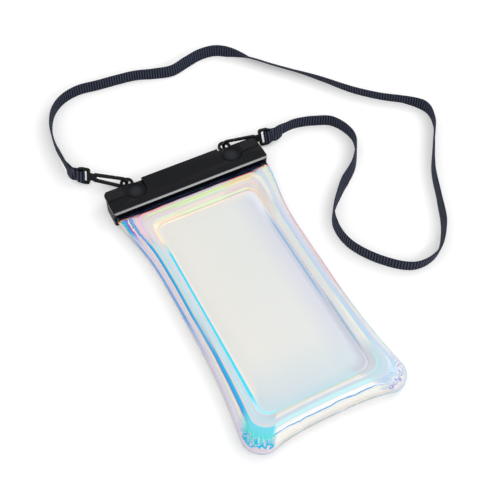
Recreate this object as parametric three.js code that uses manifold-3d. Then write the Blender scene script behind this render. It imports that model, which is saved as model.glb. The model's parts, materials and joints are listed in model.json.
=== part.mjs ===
// Waterproof pouch for a phone: an inflated clear cushion round two flat windows, closed by a
// two-part clamp with quarter-turn levers, on a woven neck strap with a moulded hook at each end.
// Millimetres, +Z up. The pouch lies on its back, its mouth clamped at +Y. The origin is on the
// floor, under the middle of the pouch and clamp.

import * as THREE from 'three';
import { mergeVertices } from 'three/addons/utils/BufferGeometryUtils.js';
import Module from 'manifold-3d';

const wasm = await Module();
wasm.setup();

// Clearances
const CLEARANCE = 0.3;            // between pieces that touch or turn against each other
const CUT_OVERRUN = 1;            // how far a cutting body runs past the face that it cuts
const JOIN_OVERLAP = 1;           // how far two bodies that become one reach into each other
const FINE_ROUND = 48;            // sides of the circles, by how large they show
const ROUND = 36;
const SMALL_ROUND = 24;

// Clamp bars
const BAR_LENGTH = 117.2;
const BAR_DEPTH = 23;             // front edge to rear edge
const BAR_HALF_THICKNESS = 5.5;
const BAR_PARTING = 2;            // space between the two halves, where the films go in
const BAR_BEVEL = 1.7;            // bright bevel along the front upper edge
const BAR_REAR_CHAMFER = 0.6;
const BAR_FRONT_CORNER = 2;
const BAR_REAR_CORNER = 9;        // large, so that a finger finds the tab's overhanging end
const MID_Z = BAR_HALF_THICKNESS + BAR_PARTING / 2;
const BAR_TOP_Z = 2 * BAR_HALF_THICKNESS + BAR_PARTING;

// Levers
const LEVER_FROM_END = 21.9;      // end of the bar to each lever's axis
const LEVER_FROM_FRONT = 13.9;
const LEVER_DISC_RADIUS = 7;
const LEVER_THICKNESS = 3;
const LEVER_LIP = 0.4;            // chamfer round the disc
const LEVER_DISH_RADIUS = 5.6;
const LEVER_DISH_DEPTH = 0.9;
const LEVER_DISH_PROFILE = [[1, 0], [0.8, 0.6], [0.45, 0.93], [0, 1]];  // shares of radius and depth
const TAB_FRONT = 2.1;            // how far the tab reaches in front of the lever's axis
const TAB_REAR = 7.2;             // how far it reaches behind the axis
const TAB_END_INSET = 0.3;        // from the bar's end face
const TAB_CORNER_CUT = 2;
const TAB_SHOULDER_X = 1.3;       // where the tab's rear edge meets the disc
const TAB_SHOULDER_Y = 6;
const SHANK_RADIUS = 2;
const SHANK_SQUARE = 2.6;         // squared lower end that carries the cam

// Cams, the cross bars that pull the halves together
const CAM_LENGTH = 9;
const CAM_WIDTH = 4.4;
const CAM_THICKNESS = 1.8;
const CAM_CORNER_RADIUS = 1.32;
const CAM_BASE_Z = 0.8;

// Seal strips
const SEAL_LENGTH = 106;
const SEAL_WIDTH = 3;
const SEAL_DEPTH = 2;             // depth of the groove that holds the strip
const SEAL_FROM_FRONT = 5.5;      // front edge of the bar to the middle of the strip
const SEAL_CORNER_RADIUS = 1;

// Strap lugs on the back bar
const LUG_X = 38.3;
const LUG_BEHIND = 6.3;           // rear edge of the bar to the middle of the lug's hole
const LUG_HOLE_RADIUS = 2.8;
const LUG_WALL = 1.9;
const LUG_THICKNESS = 1.6;
const LUG_Z = 4.3;

// Pouch: plan sizes are distances below the clamp's front edge, or half widths
const WINDOW_HALF_WIDTH = 37.3;
const WINDOW_TOP = 18.6;
const WINDOW_BOTTOM = 176.2;
const WINDOW_CORNER_RADIUS = 7;
const WINDOW_THICKNESS = 0.6;
const WAIST_HALF_WIDTH = 49.9;
const FLARE_LENGTH = 32;          // how quickly the extra width at the clamp dies out
const EAR_FLARE = 5.4;            // extra half width at the bottom ears
const EAR_FLARE_START = 112;
const EAR_START = 183;            // where the side turns into the ear
const EAR_HALF_GAP = 42;          // half width of the bottom edge between the ears
const BOTTOM_EDGE = 192.7;
const EAR_DROP = 4;               // how far the ears reach below the bottom edge
const MOUTH_HALF_WIDTH = 55.2;    // films inside the clamp
const MOUTH_TAPER = 2.3;          // by which they are wider just in front of it, on each side
const MOUTH_REACH = 10;           // how far the films go into the clamp
const WELD_WIDTH = 1.8;           // flat welded edge round the cushion
const FILM_THICKNESS = 0.45;
const POCKET_HALF_GAP = 2.2;      // half the thickness of the phone pocket
const CUSHION_CREST_TOP = 5.6;    // crest of the cushion above the middle plane, next to the clamp
const SEAM_RISE = 0.9;            // cushion skin above the pocket's wall at the window seam
const SKIN_ROUNDNESS = 0.6;       // exponent of the skin's sine section, lower is squarer
const WALL_FOOT = 0.35;           // share of the way to the seam where the pocket's wall turns flat
const CREST_CHANGE_START = 0.8;   // share of the side where the crest starts to change to the mouth's
const CREST_CHANGE_AT_CORNER = 0.5;

// Hooks, in their own plane: u runs from the lug to the strap, w across
const HOOK_HALF_HEIGHT = 4.3;     // at the nose
const HOOK_END_HALF_HEIGHT = 3.3; // where the opening ends
const HOOK_WIRE = 1.5;            // arms of the hook's opening
const HOOK_TIP = 2;               // the part that goes through the lug
const HOOK_THICKNESS = 2.3;
const HOOK_OPENING_END = 22;
const HOOK_OPENING_ROUND = 1.2;
const HOOK_SHOULDER = 2.2;        // length of the step down to the neck
const HOOK_SHOULDER_TURN = 1.8;
const HOOK_NECK_HALF_HEIGHT = 2.4;
const EYE_START = 26.5;
const EYE_HOLE_LENGTH = 3.6;
const EYE_WALL = 1.3;
const EYE_SIDE = 2.2;
const EYE_ROUND = 2.4;
const EYE_HOLE_ROUND = 1;
const GATE_SLIT = 0.45;
const GATE_SLIT_U = 7.5;
const GATE_SLIT_OVERRUN = 0.6;    // how far the slit runs into the opening
const GATE_SLIT_SLANT = 1.6;
const HOOK_LEAN_LEFT = 10;        // degrees from upright
const HOOK_LEAN_RIGHT = -17;
const HOOK_PITCH = 4.5;           // degrees, the eye end is the higher one
const HOOK_YAW_LEFT = 143;        // degrees, heading of the left hook from its lug
const HOOK_YAW_RIGHT = -13;
const HOOK_RISE = 0.45;           // middle of the hook above the lug's
const HOOK_SLACK = 0.5;           // by which each hook stands off the middle of its lug's hole

// Strap
const STRAP_WIDTH = 10;
const STRAP_THICKNESS = 1.4;
const STRAP_SELVEDGE = 0.35;      // rounding of the webbing's four long edges
const STRAP_STEPS = 80;
const STRAP_LIFT = 0.3;           // lower edge above the floor
const LOOP_TAIL = 3;              // sewn plies past the eye
const LOOP_PLY_SHARE = 0.8;       // thickness of the turn round the eye, in webbing thicknesses

// What follows from the sizes above
const LEVER_X = BAR_LENGTH / 2 - LEVER_FROM_END;
const LUG_RADIUS = LUG_HOLE_RADIUS + LUG_WALL;
const POUCH_REACH = BOTTOM_EDGE + EAR_DROP;
const TOTAL_DEPTH = POUCH_REACH + BAR_DEPTH + LUG_BEHIND + LUG_RADIUS;
const FRONT_Y = POUCH_REACH - TOTAL_DEPTH / 2;
const LEVER_Y = FRONT_Y + LEVER_FROM_FRONT;
const LUG_Y = FRONT_Y + BAR_DEPTH + LUG_BEHIND;
const LEVER_FLOOR_Z = BAR_TOP_Z - LEVER_THICKNESS - CLEARANCE;
const FRONT_BAR_Z = BAR_HALF_THICKNESS + BAR_PARTING;
const STRAP_Z = STRAP_LIFT + STRAP_WIDTH / 2;
const CUSHION_CREST = MID_Z;      // at the sides, so that the back lies on the clamp's floor
const MOUTH_FLARE = MOUTH_HALF_WIDTH + MOUTH_TAPER - WAIST_HALF_WIDTH;

// Materials
function material(color, roughness, metalness = 0) {
  return new THREE.MeshStandardMaterial({ color, roughness, metalness });
}

const clampPlastic = material(0x1e1f26, 0.38);
const leverPlastic = material(0x22232b, 0.45);
const sealRubber = material(0x3a3c42, 0.8);
const cushionFilm = material(0xdfe6ee, 0.12);
const windowFilm = material(0xe4e2de, 0.3);
const hookPlastic = material(0x17181c, 0.42);
const webbing = material(0x24262e, 0.85);

const pouch = new THREE.Group();

function addMesh(name, geometry, surface, parent = pouch) {
  const mesh = new THREE.Mesh(geometry, surface);
  mesh.name = name;
  parent.add(mesh);
  return mesh;
}

// Solids and booleans
function toSolid(geometry) {
  const bare = geometry.clone();
  bare.deleteAttribute('normal');
  bare.deleteAttribute('uv');
  const merged = mergeVertices(bare, 1e-4);
  return new wasm.Manifold(new wasm.Mesh({
    numProp: 3,
    vertProperties: new Float32Array(merged.attributes.position.array),
    triVerts: new Uint32Array(merged.index.array),
  }));
}

function toGeometry(solid) {
  const mesh = solid.getMesh();
  const geometry = new THREE.BufferGeometry();
  geometry.setAttribute('position', new THREE.BufferAttribute(new Float32Array(mesh.vertProperties), 3));
  geometry.setIndex(new THREE.BufferAttribute(new Uint32Array(mesh.triVerts), 1));
  geometry.computeVertexNormals();
  return geometry;
}

function cut(body, ...tools) {
  return tools.reduce((left, tool) => left.subtract(toSolid(tool)), body);
}

function join(body, ...others) {
  return others.reduce((sum, other) => sum.add(toSolid(other)), body);
}

// Plain bodies, already in place
function extrudeUp(shape, bottomZ, topZ, curveSegments = 10) {
  const geometry = new THREE.ExtrudeGeometry(shape, {
    depth: topZ - bottomZ, bevelEnabled: false, curveSegments,
  });
  return geometry.translate(0, 0, bottomZ);
}

function extrudeAlongX(sectionYZ, length) {
  const geometry = new THREE.ExtrudeGeometry(sectionYZ, { depth: length, bevelEnabled: false });
  geometry.translate(0, 0, -length / 2);
  const turn = new THREE.Matrix4().makeBasis(
    new THREE.Vector3(0, 1, 0), new THREE.Vector3(0, 0, 1), new THREE.Vector3(1, 0, 0));
  return geometry.applyMatrix4(turn);
}

function upright(radius, bottomZ, topZ, x, y, segments = ROUND) {
  const geometry = new THREE.CylinderGeometry(radius, radius, topZ - bottomZ, segments);
  geometry.rotateX(Math.PI / 2);
  return geometry.translate(x, y, (bottomZ + topZ) / 2);
}

function block(x0, x1, y0, y1, z0, z1) {
  const geometry = new THREE.BoxGeometry(x1 - x0, y1 - y0, z1 - z0);
  return geometry.translate((x0 + x1) / 2, (y0 + y1) / 2, (z0 + z1) / 2);
}

function polygon(points) {
  return new THREE.Shape(points.map(([x, y]) => new THREE.Vector2(x, y)));
}

function roundedRect(x0, x1, y0, y1, radius, target = new THREE.Shape()) {
  target.moveTo(x0 + radius, y0);
  target.lineTo(x1 - radius, y0);
  target.absarc(x1 - radius, y0 + radius, radius, -Math.PI / 2, 0);
  target.lineTo(x1, y1 - radius);
  target.absarc(x1 - radius, y1 - radius, radius, 0, Math.PI / 2);
  target.lineTo(x0 + radius, y1);
  target.absarc(x0 + radius, y1 - radius, radius, Math.PI / 2, Math.PI);
  target.lineTo(x0, y0 + radius);
  target.absarc(x0 + radius, y0 + radius, radius, Math.PI, 1.5 * Math.PI);
  return target;
}

// Clamp bars: a YZ section run along X, trimmed to the plan with its rounded corners
function barPlan(bottomZ, topZ) {
  const half = BAR_LENGTH / 2;
  const rear = FRONT_Y + BAR_DEPTH;
  const [a, b] = [BAR_FRONT_CORNER, BAR_REAR_CORNER];
  const plan = new THREE.Shape();
  plan.moveTo(-half + a, FRONT_Y);
  plan.absarc(half - a, FRONT_Y + a, a, -Math.PI / 2, 0);
  plan.absarc(half - b, rear - b, b, 0, Math.PI / 2);
  plan.absarc(-half + b, rear - b, b, Math.PI / 2, Math.PI);
  plan.absarc(-half + a, FRONT_Y + a, a, Math.PI, 1.5 * Math.PI);
  return extrudeUp(plan, bottomZ - CUT_OVERRUN, topZ + CUT_OVERRUN, 8);
}

function sealGroove(bottomZ, topZ) {
  const halfLength = SEAL_LENGTH / 2 + CLEARANCE;
  const halfWidth = SEAL_WIDTH / 2 + CLEARANCE;
  const y = FRONT_Y + SEAL_FROM_FRONT;
  return block(-halfLength, halfLength, y - halfWidth, y + halfWidth, bottomZ, topZ);
}

// Room for one lever in the front bar: the disc's seat, the tab's seat, and the way that the
// tab swings out behind. Side is -1 for the left lever and 1 for the right one.
function leverSeat(side) {
  const floor = LEVER_FLOOR_Z;
  const top = BAR_TOP_Z + CUT_OVERRUN;
  const axisX = side * LEVER_X;
  const outer = side * (BAR_LENGTH / 2 + CUT_OVERRUN);
  const seatRadius = Math.max(LEVER_DISC_RADIUS, TAB_REAR) + CLEARANCE;
  const inner = axisX - side * seatRadius;
  const rear = FRONT_Y + BAR_DEPTH + CUT_OVERRUN;
  const [x0, x1] = [Math.min(inner, outer), Math.max(inner, outer)];
  const [t0, t1] = [Math.min(axisX, outer), Math.max(axisX, outer)];
  return [
    upright(seatRadius, floor, top, axisX, LEVER_Y, FINE_ROUND),
    block(x0, x1, LEVER_Y, rear, floor, top),
    block(t0, t1, LEVER_Y - TAB_FRONT - CLEARANCE, LEVER_Y + CLEARANCE, floor, top),
  ];
}

function makeFrontBar() {
  const z0 = FRONT_BAR_Z;
  const z1 = BAR_TOP_Z;
  const rear = FRONT_Y + BAR_DEPTH;
  const section = polygon([
    [FRONT_Y, z0], [rear, z0], [rear, z1 - BAR_REAR_CHAMFER], [rear - BAR_REAR_CHAMFER, z1],
    [FRONT_Y + BAR_BEVEL, z1], [FRONT_Y, z1 - BAR_BEVEL],
  ]);
  let bar = toSolid(extrudeAlongX(section, BAR_LENGTH)).intersect(toSolid(barPlan(z0, z1)));
  bar = cut(bar, sealGroove(z0 - CUT_OVERRUN, z0 + SEAL_DEPTH));
  for (const side of [-1, 1]) {
    const radius = SHANK_RADIUS + CLEARANCE;
    const hole = upright(radius, z0 - CUT_OVERRUN, z1, side * LEVER_X, LEVER_Y, SMALL_ROUND);
    bar = cut(bar, ...leverSeat(side), hole);
  }
  return toGeometry(bar);
}

function makeBackBar() {
  const z1 = BAR_HALF_THICKNESS;
  const rear = FRONT_Y + BAR_DEPTH;
  const edge = BAR_REAR_CHAMFER;
  const section = polygon([
    [FRONT_Y + edge, 0], [rear - edge, 0], [rear, edge], [rear, z1], [FRONT_Y, z1], [FRONT_Y, edge],
  ]);
  let bar = toSolid(extrudeAlongX(section, BAR_LENGTH)).intersect(toSolid(barPlan(0, z1)));
  bar = cut(bar, sealGroove(z1 - SEAL_DEPTH, z1 + CUT_OVERRUN));
  const camTop = CAM_BASE_Z + CAM_THICKNESS + CLEARANCE;
  const slotHalfLength = CAM_LENGTH / 2 + CLEARANCE;
  const slotHalfWidth = CAM_WIDTH / 2 + CLEARANCE;
  for (const side of [-1, 1]) {
    const x = side * LEVER_X;
    const well = upright(slotHalfLength + CLEARANCE, -CUT_OVERRUN, camTop, x, LEVER_Y);
    const slot = block(x - slotHalfWidth, x + slotHalfWidth, LEVER_Y - slotHalfLength,
      LEVER_Y + slotHalfLength, 0, z1 + CUT_OVERRUN);
    bar = cut(bar, well, slot);
    const lugX = side * LUG_X;
    const [lugBottom, lugTop] = [LUG_Z - LUG_THICKNESS / 2, LUG_Z + LUG_THICKNESS / 2];
    const arm = block(lugX - LUG_RADIUS, lugX + LUG_RADIUS, rear - JOIN_OVERLAP, LUG_Y, lugBottom, lugTop);
    bar = join(bar, arm, upright(LUG_RADIUS, lugBottom, lugTop, lugX, LUG_Y));
    bar = cut(bar, upright(LUG_HOLE_RADIUS, 0, z1, lugX, LUG_Y));
  }
  return toGeometry(bar);
}

addMesh('front_clamp_bar', makeFrontBar(), clampPlastic);
addMesh('back_clamp_bar', makeBackBar(), clampPlastic);

// Seal strips, one in each half, on either side of the films
function makeSeal(bottomZ, topZ) {
  const y = FRONT_Y + SEAL_FROM_FRONT;
  const [halfLength, halfWidth] = [SEAL_LENGTH / 2, SEAL_WIDTH / 2];
  const strip = roundedRect(-halfLength, halfLength, y - halfWidth, y + halfWidth, SEAL_CORNER_RADIUS);
  return extrudeUp(strip, bottomZ, topZ, 4);
}

addMesh('front_seal_strip', makeSeal(FRONT_BAR_Z, FRONT_BAR_Z + SEAL_DEPTH - CLEARANCE), sealRubber);
addMesh('back_seal_strip',
  makeSeal(BAR_HALF_THICKNESS - SEAL_DEPTH + CLEARANCE, BAR_HALF_THICKNESS), sealRubber);

// Levers: dished disc, tab and shank. Each sits in a group on its own axis, with its tab
// towards its own end of the bar. Side is -1 for the left lever and 1 for the right one.
function makeLever(side) {
  const top = LEVER_THICKNESS;
  const r = LEVER_DISC_RADIUS;
  const dish = LEVER_DISH_PROFILE.map(([radiusShare, depthShare]) => [
    LEVER_DISH_RADIUS * radiusShare, top - LEVER_DISH_DEPTH * depthShare,
  ]);
  const profile = [[0, 0], [r, 0], [r, top - LEVER_LIP], [r - LEVER_LIP, top], ...dish];
  const disc = new THREE.LatheGeometry(profile.map(([x, y]) => new THREE.Vector2(x, y)), FINE_ROUND);
  disc.rotateX(Math.PI / 2);
  const reach = BAR_LENGTH / 2 - TAB_END_INSET - LEVER_X;
  const root = Math.sqrt(r * r - TAB_FRONT * TAB_FRONT) - LEVER_LIP;
  const corners = [
    [TAB_SHOULDER_X, TAB_REAR], [TAB_SHOULDER_X, TAB_SHOULDER_Y], [root, -TAB_FRONT],
    [reach, -TAB_FRONT], [reach, TAB_REAR - TAB_CORNER_CUT], [reach - TAB_CORNER_CUT, TAB_REAR],
  ];
  const tab = extrudeUp(polygon(corners.map(([x, y]) => [side * x, y])), 0, top);
  const dishCut = upright(LEVER_DISH_RADIUS, -CUT_OVERRUN, top + CUT_OVERRUN, 0, 0, FINE_ROUND);
  const seatZ = BAR_TOP_Z - LEVER_THICKNESS;
  const camTopZ = CAM_BASE_Z + CAM_THICKNESS + CLEARANCE;
  const shank = upright(SHANK_RADIUS, camTopZ - seatZ, JOIN_OVERLAP, 0, 0, SMALL_ROUND);
  const half = SHANK_SQUARE / 2;
  const square = block(-half, half, -half, half, CAM_BASE_Z - seatZ, JOIN_OVERLAP);
  return toGeometry(join(cut(toSolid(tab), dishCut), disc, shank, square));
}

// Cam: a cross bar on the shank's squared end, crosswise to its slot when the clamp is shut
function makeCam() {
  const halfLength = CAM_LENGTH / 2;
  const halfWidth = CAM_WIDTH / 2;
  const outline = roundedRect(-halfLength, halfLength, -halfWidth, halfWidth, CAM_CORNER_RADIUS);
  const half = SHANK_SQUARE / 2 + CLEARANCE;
  outline.holes.push(polygon([[-half, -half], [-half, half], [half, half], [half, -half]]));
  return extrudeUp(outline, 0, CAM_THICKNESS, 5);
}

for (const [side, word] of [[-1, 'left'], [1, 'right']]) {
  const axis = new THREE.Group();
  axis.position.set(side * LEVER_X, LEVER_Y, 0);
  pouch.add(axis);
  const lever = addMesh(`lever_${word}`, makeLever(side), leverPlastic, axis);
  lever.position.z = BAR_TOP_Z - LEVER_THICKNESS;
  const cam = addMesh(`cam_${word}`, makeCam(), leverPlastic, axis);
  cam.position.z = CAM_BASE_Z;
}

// Pouch outline. Distances run down from the clamp's front edge.
function sideHalfWidth(below) {
  const mouth = MOUTH_FLARE * Math.exp(-((below / FLARE_LENGTH) ** 2));
  const toEar = Math.max(0, (below - EAR_FLARE_START) / (EAR_START - EAR_FLARE_START));
  return WAIST_HALF_WIDTH + mouth + EAR_FLARE * toEar ** 2;
}

function bottomBelow(x) {
  return BOTTOM_EDGE + EAR_DROP * (Math.abs(x) / EAR_HALF_GAP) ** 3;
}

// Stations along the right half of the cushion, from the bottom middle round to the top
// middle: a point on the window seam and its partner on the outer edge.
function rightHalfStations() {
  const stations = [];
  const straight = WINDOW_HALF_WIDTH - WINDOW_CORNER_RADIUS;
  const lowCorner = WINDOW_BOTTOM - WINDOW_CORNER_RADIUS;
  const highCorner = WINDOW_TOP + WINDOW_CORNER_RADIUS;
  const bottomCount = 6;
  for (let i = 0; i < bottomCount; i += 1) {
    const t = i / bottomCount;
    const x = t * EAR_HALF_GAP;
    stations.push({ seam: [t * straight, WINDOW_BOTTOM], edge: [x, bottomBelow(x)], crest: 0 });
  }
  const earCount = 8;
  const earWidth = sideHalfWidth(EAR_START) - EAR_HALF_GAP;
  const earHeight = bottomBelow(EAR_HALF_GAP) - EAR_START;
  for (let i = 0; i < earCount; i += 1) {
    const angle = (i / earCount) * (Math.PI / 2);
    const [s, c] = [Math.sin(angle), Math.cos(angle)];
    stations.push({
      seam: [straight + WINDOW_CORNER_RADIUS * s, lowCorner + WINDOW_CORNER_RADIUS * c],
      edge: [EAR_HALF_GAP + earWidth * s, EAR_START + earHeight * c],
      crest: 0,
    });
  }
  const sideCount = 14;
  const sideTop = WELD_WIDTH + CLEARANCE;
  for (let i = 0; i < sideCount; i += 1) {
    const t = i / sideCount;
    const below = EAR_START + (sideTop - EAR_START) * t;
    stations.push({
      seam: [WINDOW_HALF_WIDTH, lowCorner + (highCorner - lowCorner) * t],
      edge: [sideHalfWidth(below), below],
      crest: CREST_CHANGE_AT_CORNER * Math.max(0, (t - CREST_CHANGE_START) / (1 - CREST_CHANGE_START)),
    });
  }
  const cornerCount = 4;
  for (let i = 0; i < cornerCount; i += 1) {
    const t = i / cornerCount;
    const angle = t * (Math.PI / 2);
    stations.push({
      seam: [straight + WINDOW_CORNER_RADIUS * Math.cos(angle),
        highCorner - WINDOW_CORNER_RADIUS * Math.sin(angle)],
      edge: [sideHalfWidth(sideTop) + (MOUTH_HALF_WIDTH - sideHalfWidth(sideTop)) * t,
        sideTop - (MOUTH_REACH + sideTop) * t],
      crest: CREST_CHANGE_AT_CORNER + (1 - CREST_CHANGE_AT_CORNER) * t,
    });
  }
  const topCount = 8;
  for (let i = 0; i <= topCount; i += 1) {
    const t = 1 - i / topCount;
    const edge = [t * MOUTH_HALF_WIDTH, -MOUTH_REACH];
    stations.push({ seam: [t * straight, WINDOW_TOP], edge, crest: 1 });
  }
  return stations;
}

function allStations() {
  const right = rightHalfStations();
  const left = right.slice(1, -1).reverse().map(({ seam, edge, crest }) => ({
    seam: [-seam[0], seam[1]], edge: [-edge[0], edge[1]], crest,
  }));
  return [...right, ...left];
}

// Where the air ends: just inside the outer edge, or just in front of the clamp at the mouth
function weldPoint({ seam, edge }) {
  const length = Math.hypot(edge[0] - seam[0], edge[1] - seam[1]);
  let share = 1 - WELD_WIDTH / length;
  if (edge[1] < WELD_WIDTH) {
    share = Math.min(share, (seam[1] - WELD_WIDTH) / (seam[1] - edge[1]));
  }
  return [seam[0] + (edge[0] - seam[0]) * share, seam[1] + (edge[1] - seam[1]) * share];
}

// One cross-section of the cushion, heights above the middle plane: under the edge, over the
// skin to the window seam, and back along the pocket's wall
function cushionSection(station) {
  const { seam, edge, crest } = station;
  const weld = weldPoint(station);
  const flatBottom = CLEARANCE / 2;
  const flatTop = flatBottom + FILM_THICKNESS;
  const seamTop = POCKET_HALF_GAP + SEAM_RISE;
  const peak = CUSHION_CREST + (CUSHION_CREST_TOP - CUSHION_CREST) * crest;
  const at = (share, height) => [
    weld[0] + (seam[0] - weld[0]) * share, weld[1] + (seam[1] - weld[1]) * share, height,
  ];
  const points = [[...edge, flatBottom], [...edge, flatTop]];
  const skinCount = 8;
  for (let i = 0; i <= skinCount; i += 1) {
    const share = (1 - Math.cos((Math.PI * i) / skinCount)) / 2;
    const chord = flatTop + (seamTop - flatTop) * share;
    const bulge = (peak - (flatTop + seamTop) / 2) * Math.sin(Math.PI * share) ** SKIN_ROUNDNESS;
    points.push(at(share, chord + (share > 0 && share < 1 ? bulge : 0)));
  }
  points.push(at(1, POCKET_HALF_GAP), at(WALL_FOOT, POCKET_HALF_GAP), at(0, flatBottom));
  return points;
}

function makeCushion() {
  const rings = allStations().map(cushionSection);
  const around = rings.length;
  const across = rings[0].length;
  const geometry = new THREE.TorusGeometry(1, 0.5, across, around);
  const position = geometry.attributes.position;
  for (let j = 0; j <= across; j += 1) {
    for (let i = 0; i <= around; i += 1) {
      const [x, below, height] = rings[i % around][j % across];
      position.setXYZ(j * (around + 1) + i, x, FRONT_Y - below, height);
    }
  }
  geometry.computeVertexNormals();
  return geometry;
}

function makeWindow() {
  const half = WINDOW_HALF_WIDTH - CLEARANCE;
  const panel = roundedRect(-half, half, FRONT_Y - WINDOW_BOTTOM + CLEARANCE,
    FRONT_Y - WINDOW_TOP - CLEARANCE, WINDOW_CORNER_RADIUS - CLEARANCE);
  return extrudeUp(panel, POCKET_HALF_GAP, POCKET_HALF_GAP + WINDOW_THICKNESS, 8);
}

for (const [word, turn] of [['front', 0], ['back', Math.PI]]) {
  const half = new THREE.Group();
  half.position.z = MID_Z;
  half.rotation.y = turn;
  pouch.add(half);
  addMesh(`${word}_cushion`, makeCushion(), cushionFilm, half);
  addMesh(`${word}_window`, makeWindow(), windowFilm, half);
}

// Hook: a link with a sprung gate arm cut free of the nose by a slit, a neck and the strap eye
const EYE_HALF_HEIGHT = STRAP_WIDTH / 2 + CLEARANCE + EYE_WALL;
const EYE_HOLE_START = EYE_START + EYE_SIDE;
const EYE_BAR_START = EYE_HOLE_START + EYE_HOLE_LENGTH;
const EYE_END = EYE_BAR_START + EYE_SIDE;

function makeHook() {
  const h = HOOK_HALF_HEIGHT;
  const k = HOOK_END_HALF_HEIGHT;
  const n = HOOK_NECK_HALF_HEIGHT;
  const tip = -HOOK_TIP / 2;
  const e = EYE_HALF_HEIGHT;
  const turnU = HOOK_OPENING_END + HOOK_SHOULDER_TURN;
  const neckU = HOOK_OPENING_END + HOOK_SHOULDER;
  const outline = new THREE.Shape();
  outline.moveTo(tip + h, -h);
  outline.lineTo(HOOK_OPENING_END, -k);
  outline.quadraticCurveTo(turnU, -k, neckU, -n);
  outline.lineTo(EYE_START, -n);
  outline.lineTo(EYE_START, -e + EYE_ROUND);
  outline.quadraticCurveTo(EYE_START, -e, EYE_START + EYE_ROUND, -e);
  outline.lineTo(EYE_END - EYE_ROUND, -e);
  outline.quadraticCurveTo(EYE_END, -e, EYE_END, -e + EYE_ROUND);
  outline.lineTo(EYE_END, e - EYE_ROUND);
  outline.quadraticCurveTo(EYE_END, e, EYE_END - EYE_ROUND, e);
  outline.lineTo(EYE_START + EYE_ROUND, e);
  outline.quadraticCurveTo(EYE_START, e, EYE_START, e - EYE_ROUND);
  outline.lineTo(EYE_START, n);
  outline.lineTo(neckU, n);
  outline.quadraticCurveTo(turnU, k, HOOK_OPENING_END, k);
  outline.lineTo(tip + h, h);
  outline.absarc(tip + h, 0, h, Math.PI / 2, 1.5 * Math.PI);
  const inner = h - HOOK_WIRE;
  const end = k - HOOK_WIRE;
  const round = HOOK_OPENING_ROUND;
  const noseU = HOOK_TIP / 2 + inner;
  const opening = new THREE.Path();
  opening.moveTo(noseU, -inner);
  opening.lineTo(HOOK_OPENING_END - round, -end);
  opening.quadraticCurveTo(HOOK_OPENING_END, -end, HOOK_OPENING_END, -end + round);
  opening.lineTo(HOOK_OPENING_END, end - round);
  opening.quadraticCurveTo(HOOK_OPENING_END, end, HOOK_OPENING_END - round, end);
  opening.lineTo(noseU, inner);
  opening.absarc(noseU, 0, inner, Math.PI / 2, 1.5 * Math.PI);
  const eyeHalf = e - EYE_WALL;
  const eyeHole = new THREE.Path();
  roundedRect(EYE_HOLE_START, EYE_BAR_START, -eyeHalf, eyeHalf, EYE_HOLE_ROUND, eyeHole);
  outline.holes.push(opening, eyeHole);
  const half = HOOK_THICKNESS / 2;
  const body = toSolid(extrudeUp(outline, -half, half, 7));
  const slitFoot = inner - GATE_SLIT_OVERRUN;
  const slitTop = h + CUT_OVERRUN;
  const slit = polygon([
    [GATE_SLIT_U, slitFoot], [GATE_SLIT_U + GATE_SLIT, slitFoot],
    [GATE_SLIT_U + GATE_SLIT + GATE_SLIT_SLANT, slitTop], [GATE_SLIT_U + GATE_SLIT_SLANT, slitTop],
  ]);
  return toGeometry(cut(body, extrudeUp(slit, -half - CUT_OVERRUN, half + CUT_OVERRUN)));
}

// Strap end: the webbing's turn round the eye's outer bar, and its sewn plies behind it
function makeStrapEnd() {
  const barMiddle = EYE_BAR_START + EYE_SIDE / 2;
  const holeRadius = Math.hypot(EYE_SIDE, HOOK_THICKNESS) / 2 + CLEARANCE;
  const radius = holeRadius + STRAP_THICKNESS * LOOP_PLY_SHARE;
  const ply = STRAP_THICKNESS;
  const lean = Math.asin(ply / radius);
  const turn = new THREE.Shape();
  turn.moveTo(EYE_END + LOOP_TAIL, -ply);
  turn.lineTo(EYE_END + LOOP_TAIL, ply);
  turn.absarc(barMiddle, 0, radius, lean, 2 * Math.PI - lean);
  const hole = new THREE.Path();
  hole.absarc(barMiddle, 0, holeRadius, 0, 2 * Math.PI, true);
  turn.holes.push(hole);
  const geometry = extrudeUp(turn, -STRAP_WIDTH / 2, STRAP_WIDTH / 2, 8);
  return geometry.rotateX(Math.PI / 2);
}

// The hook's group: its X axis heads away from the lug, its Y axis is the hook's height
function placeHook(x, y, yaw, lean) {
  const heading = new THREE.Group();
  heading.position.set(x, y, LUG_Z + HOOK_RISE);
  heading.rotation.z = THREE.MathUtils.degToRad(yaw);
  const pitch = new THREE.Group();
  pitch.rotation.y = -THREE.MathUtils.degToRad(HOOK_PITCH);
  const tilt = new THREE.Group();
  tilt.rotation.x = THREE.MathUtils.degToRad(90 + lean);
  pouch.add(heading);
  heading.add(pitch);
  pitch.add(tilt);
  return tilt;
}

const hooks = [
  ['left', -LUG_X, LUG_Y - HOOK_SLACK, HOOK_YAW_LEFT, HOOK_LEAN_LEFT],
  ['right', LUG_X - HOOK_SLACK, LUG_Y, HOOK_YAW_RIGHT, HOOK_LEAN_RIGHT],
];
for (const [word, x, y, yaw, lean] of hooks) {
  const group = placeHook(x, y, yaw, lean);
  addMesh(`hook_${word}`, makeHook(), hookPlastic, group);
  addMesh(`strap_end_${word}`, makeStrapEnd(), webbing, group);
}

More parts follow.
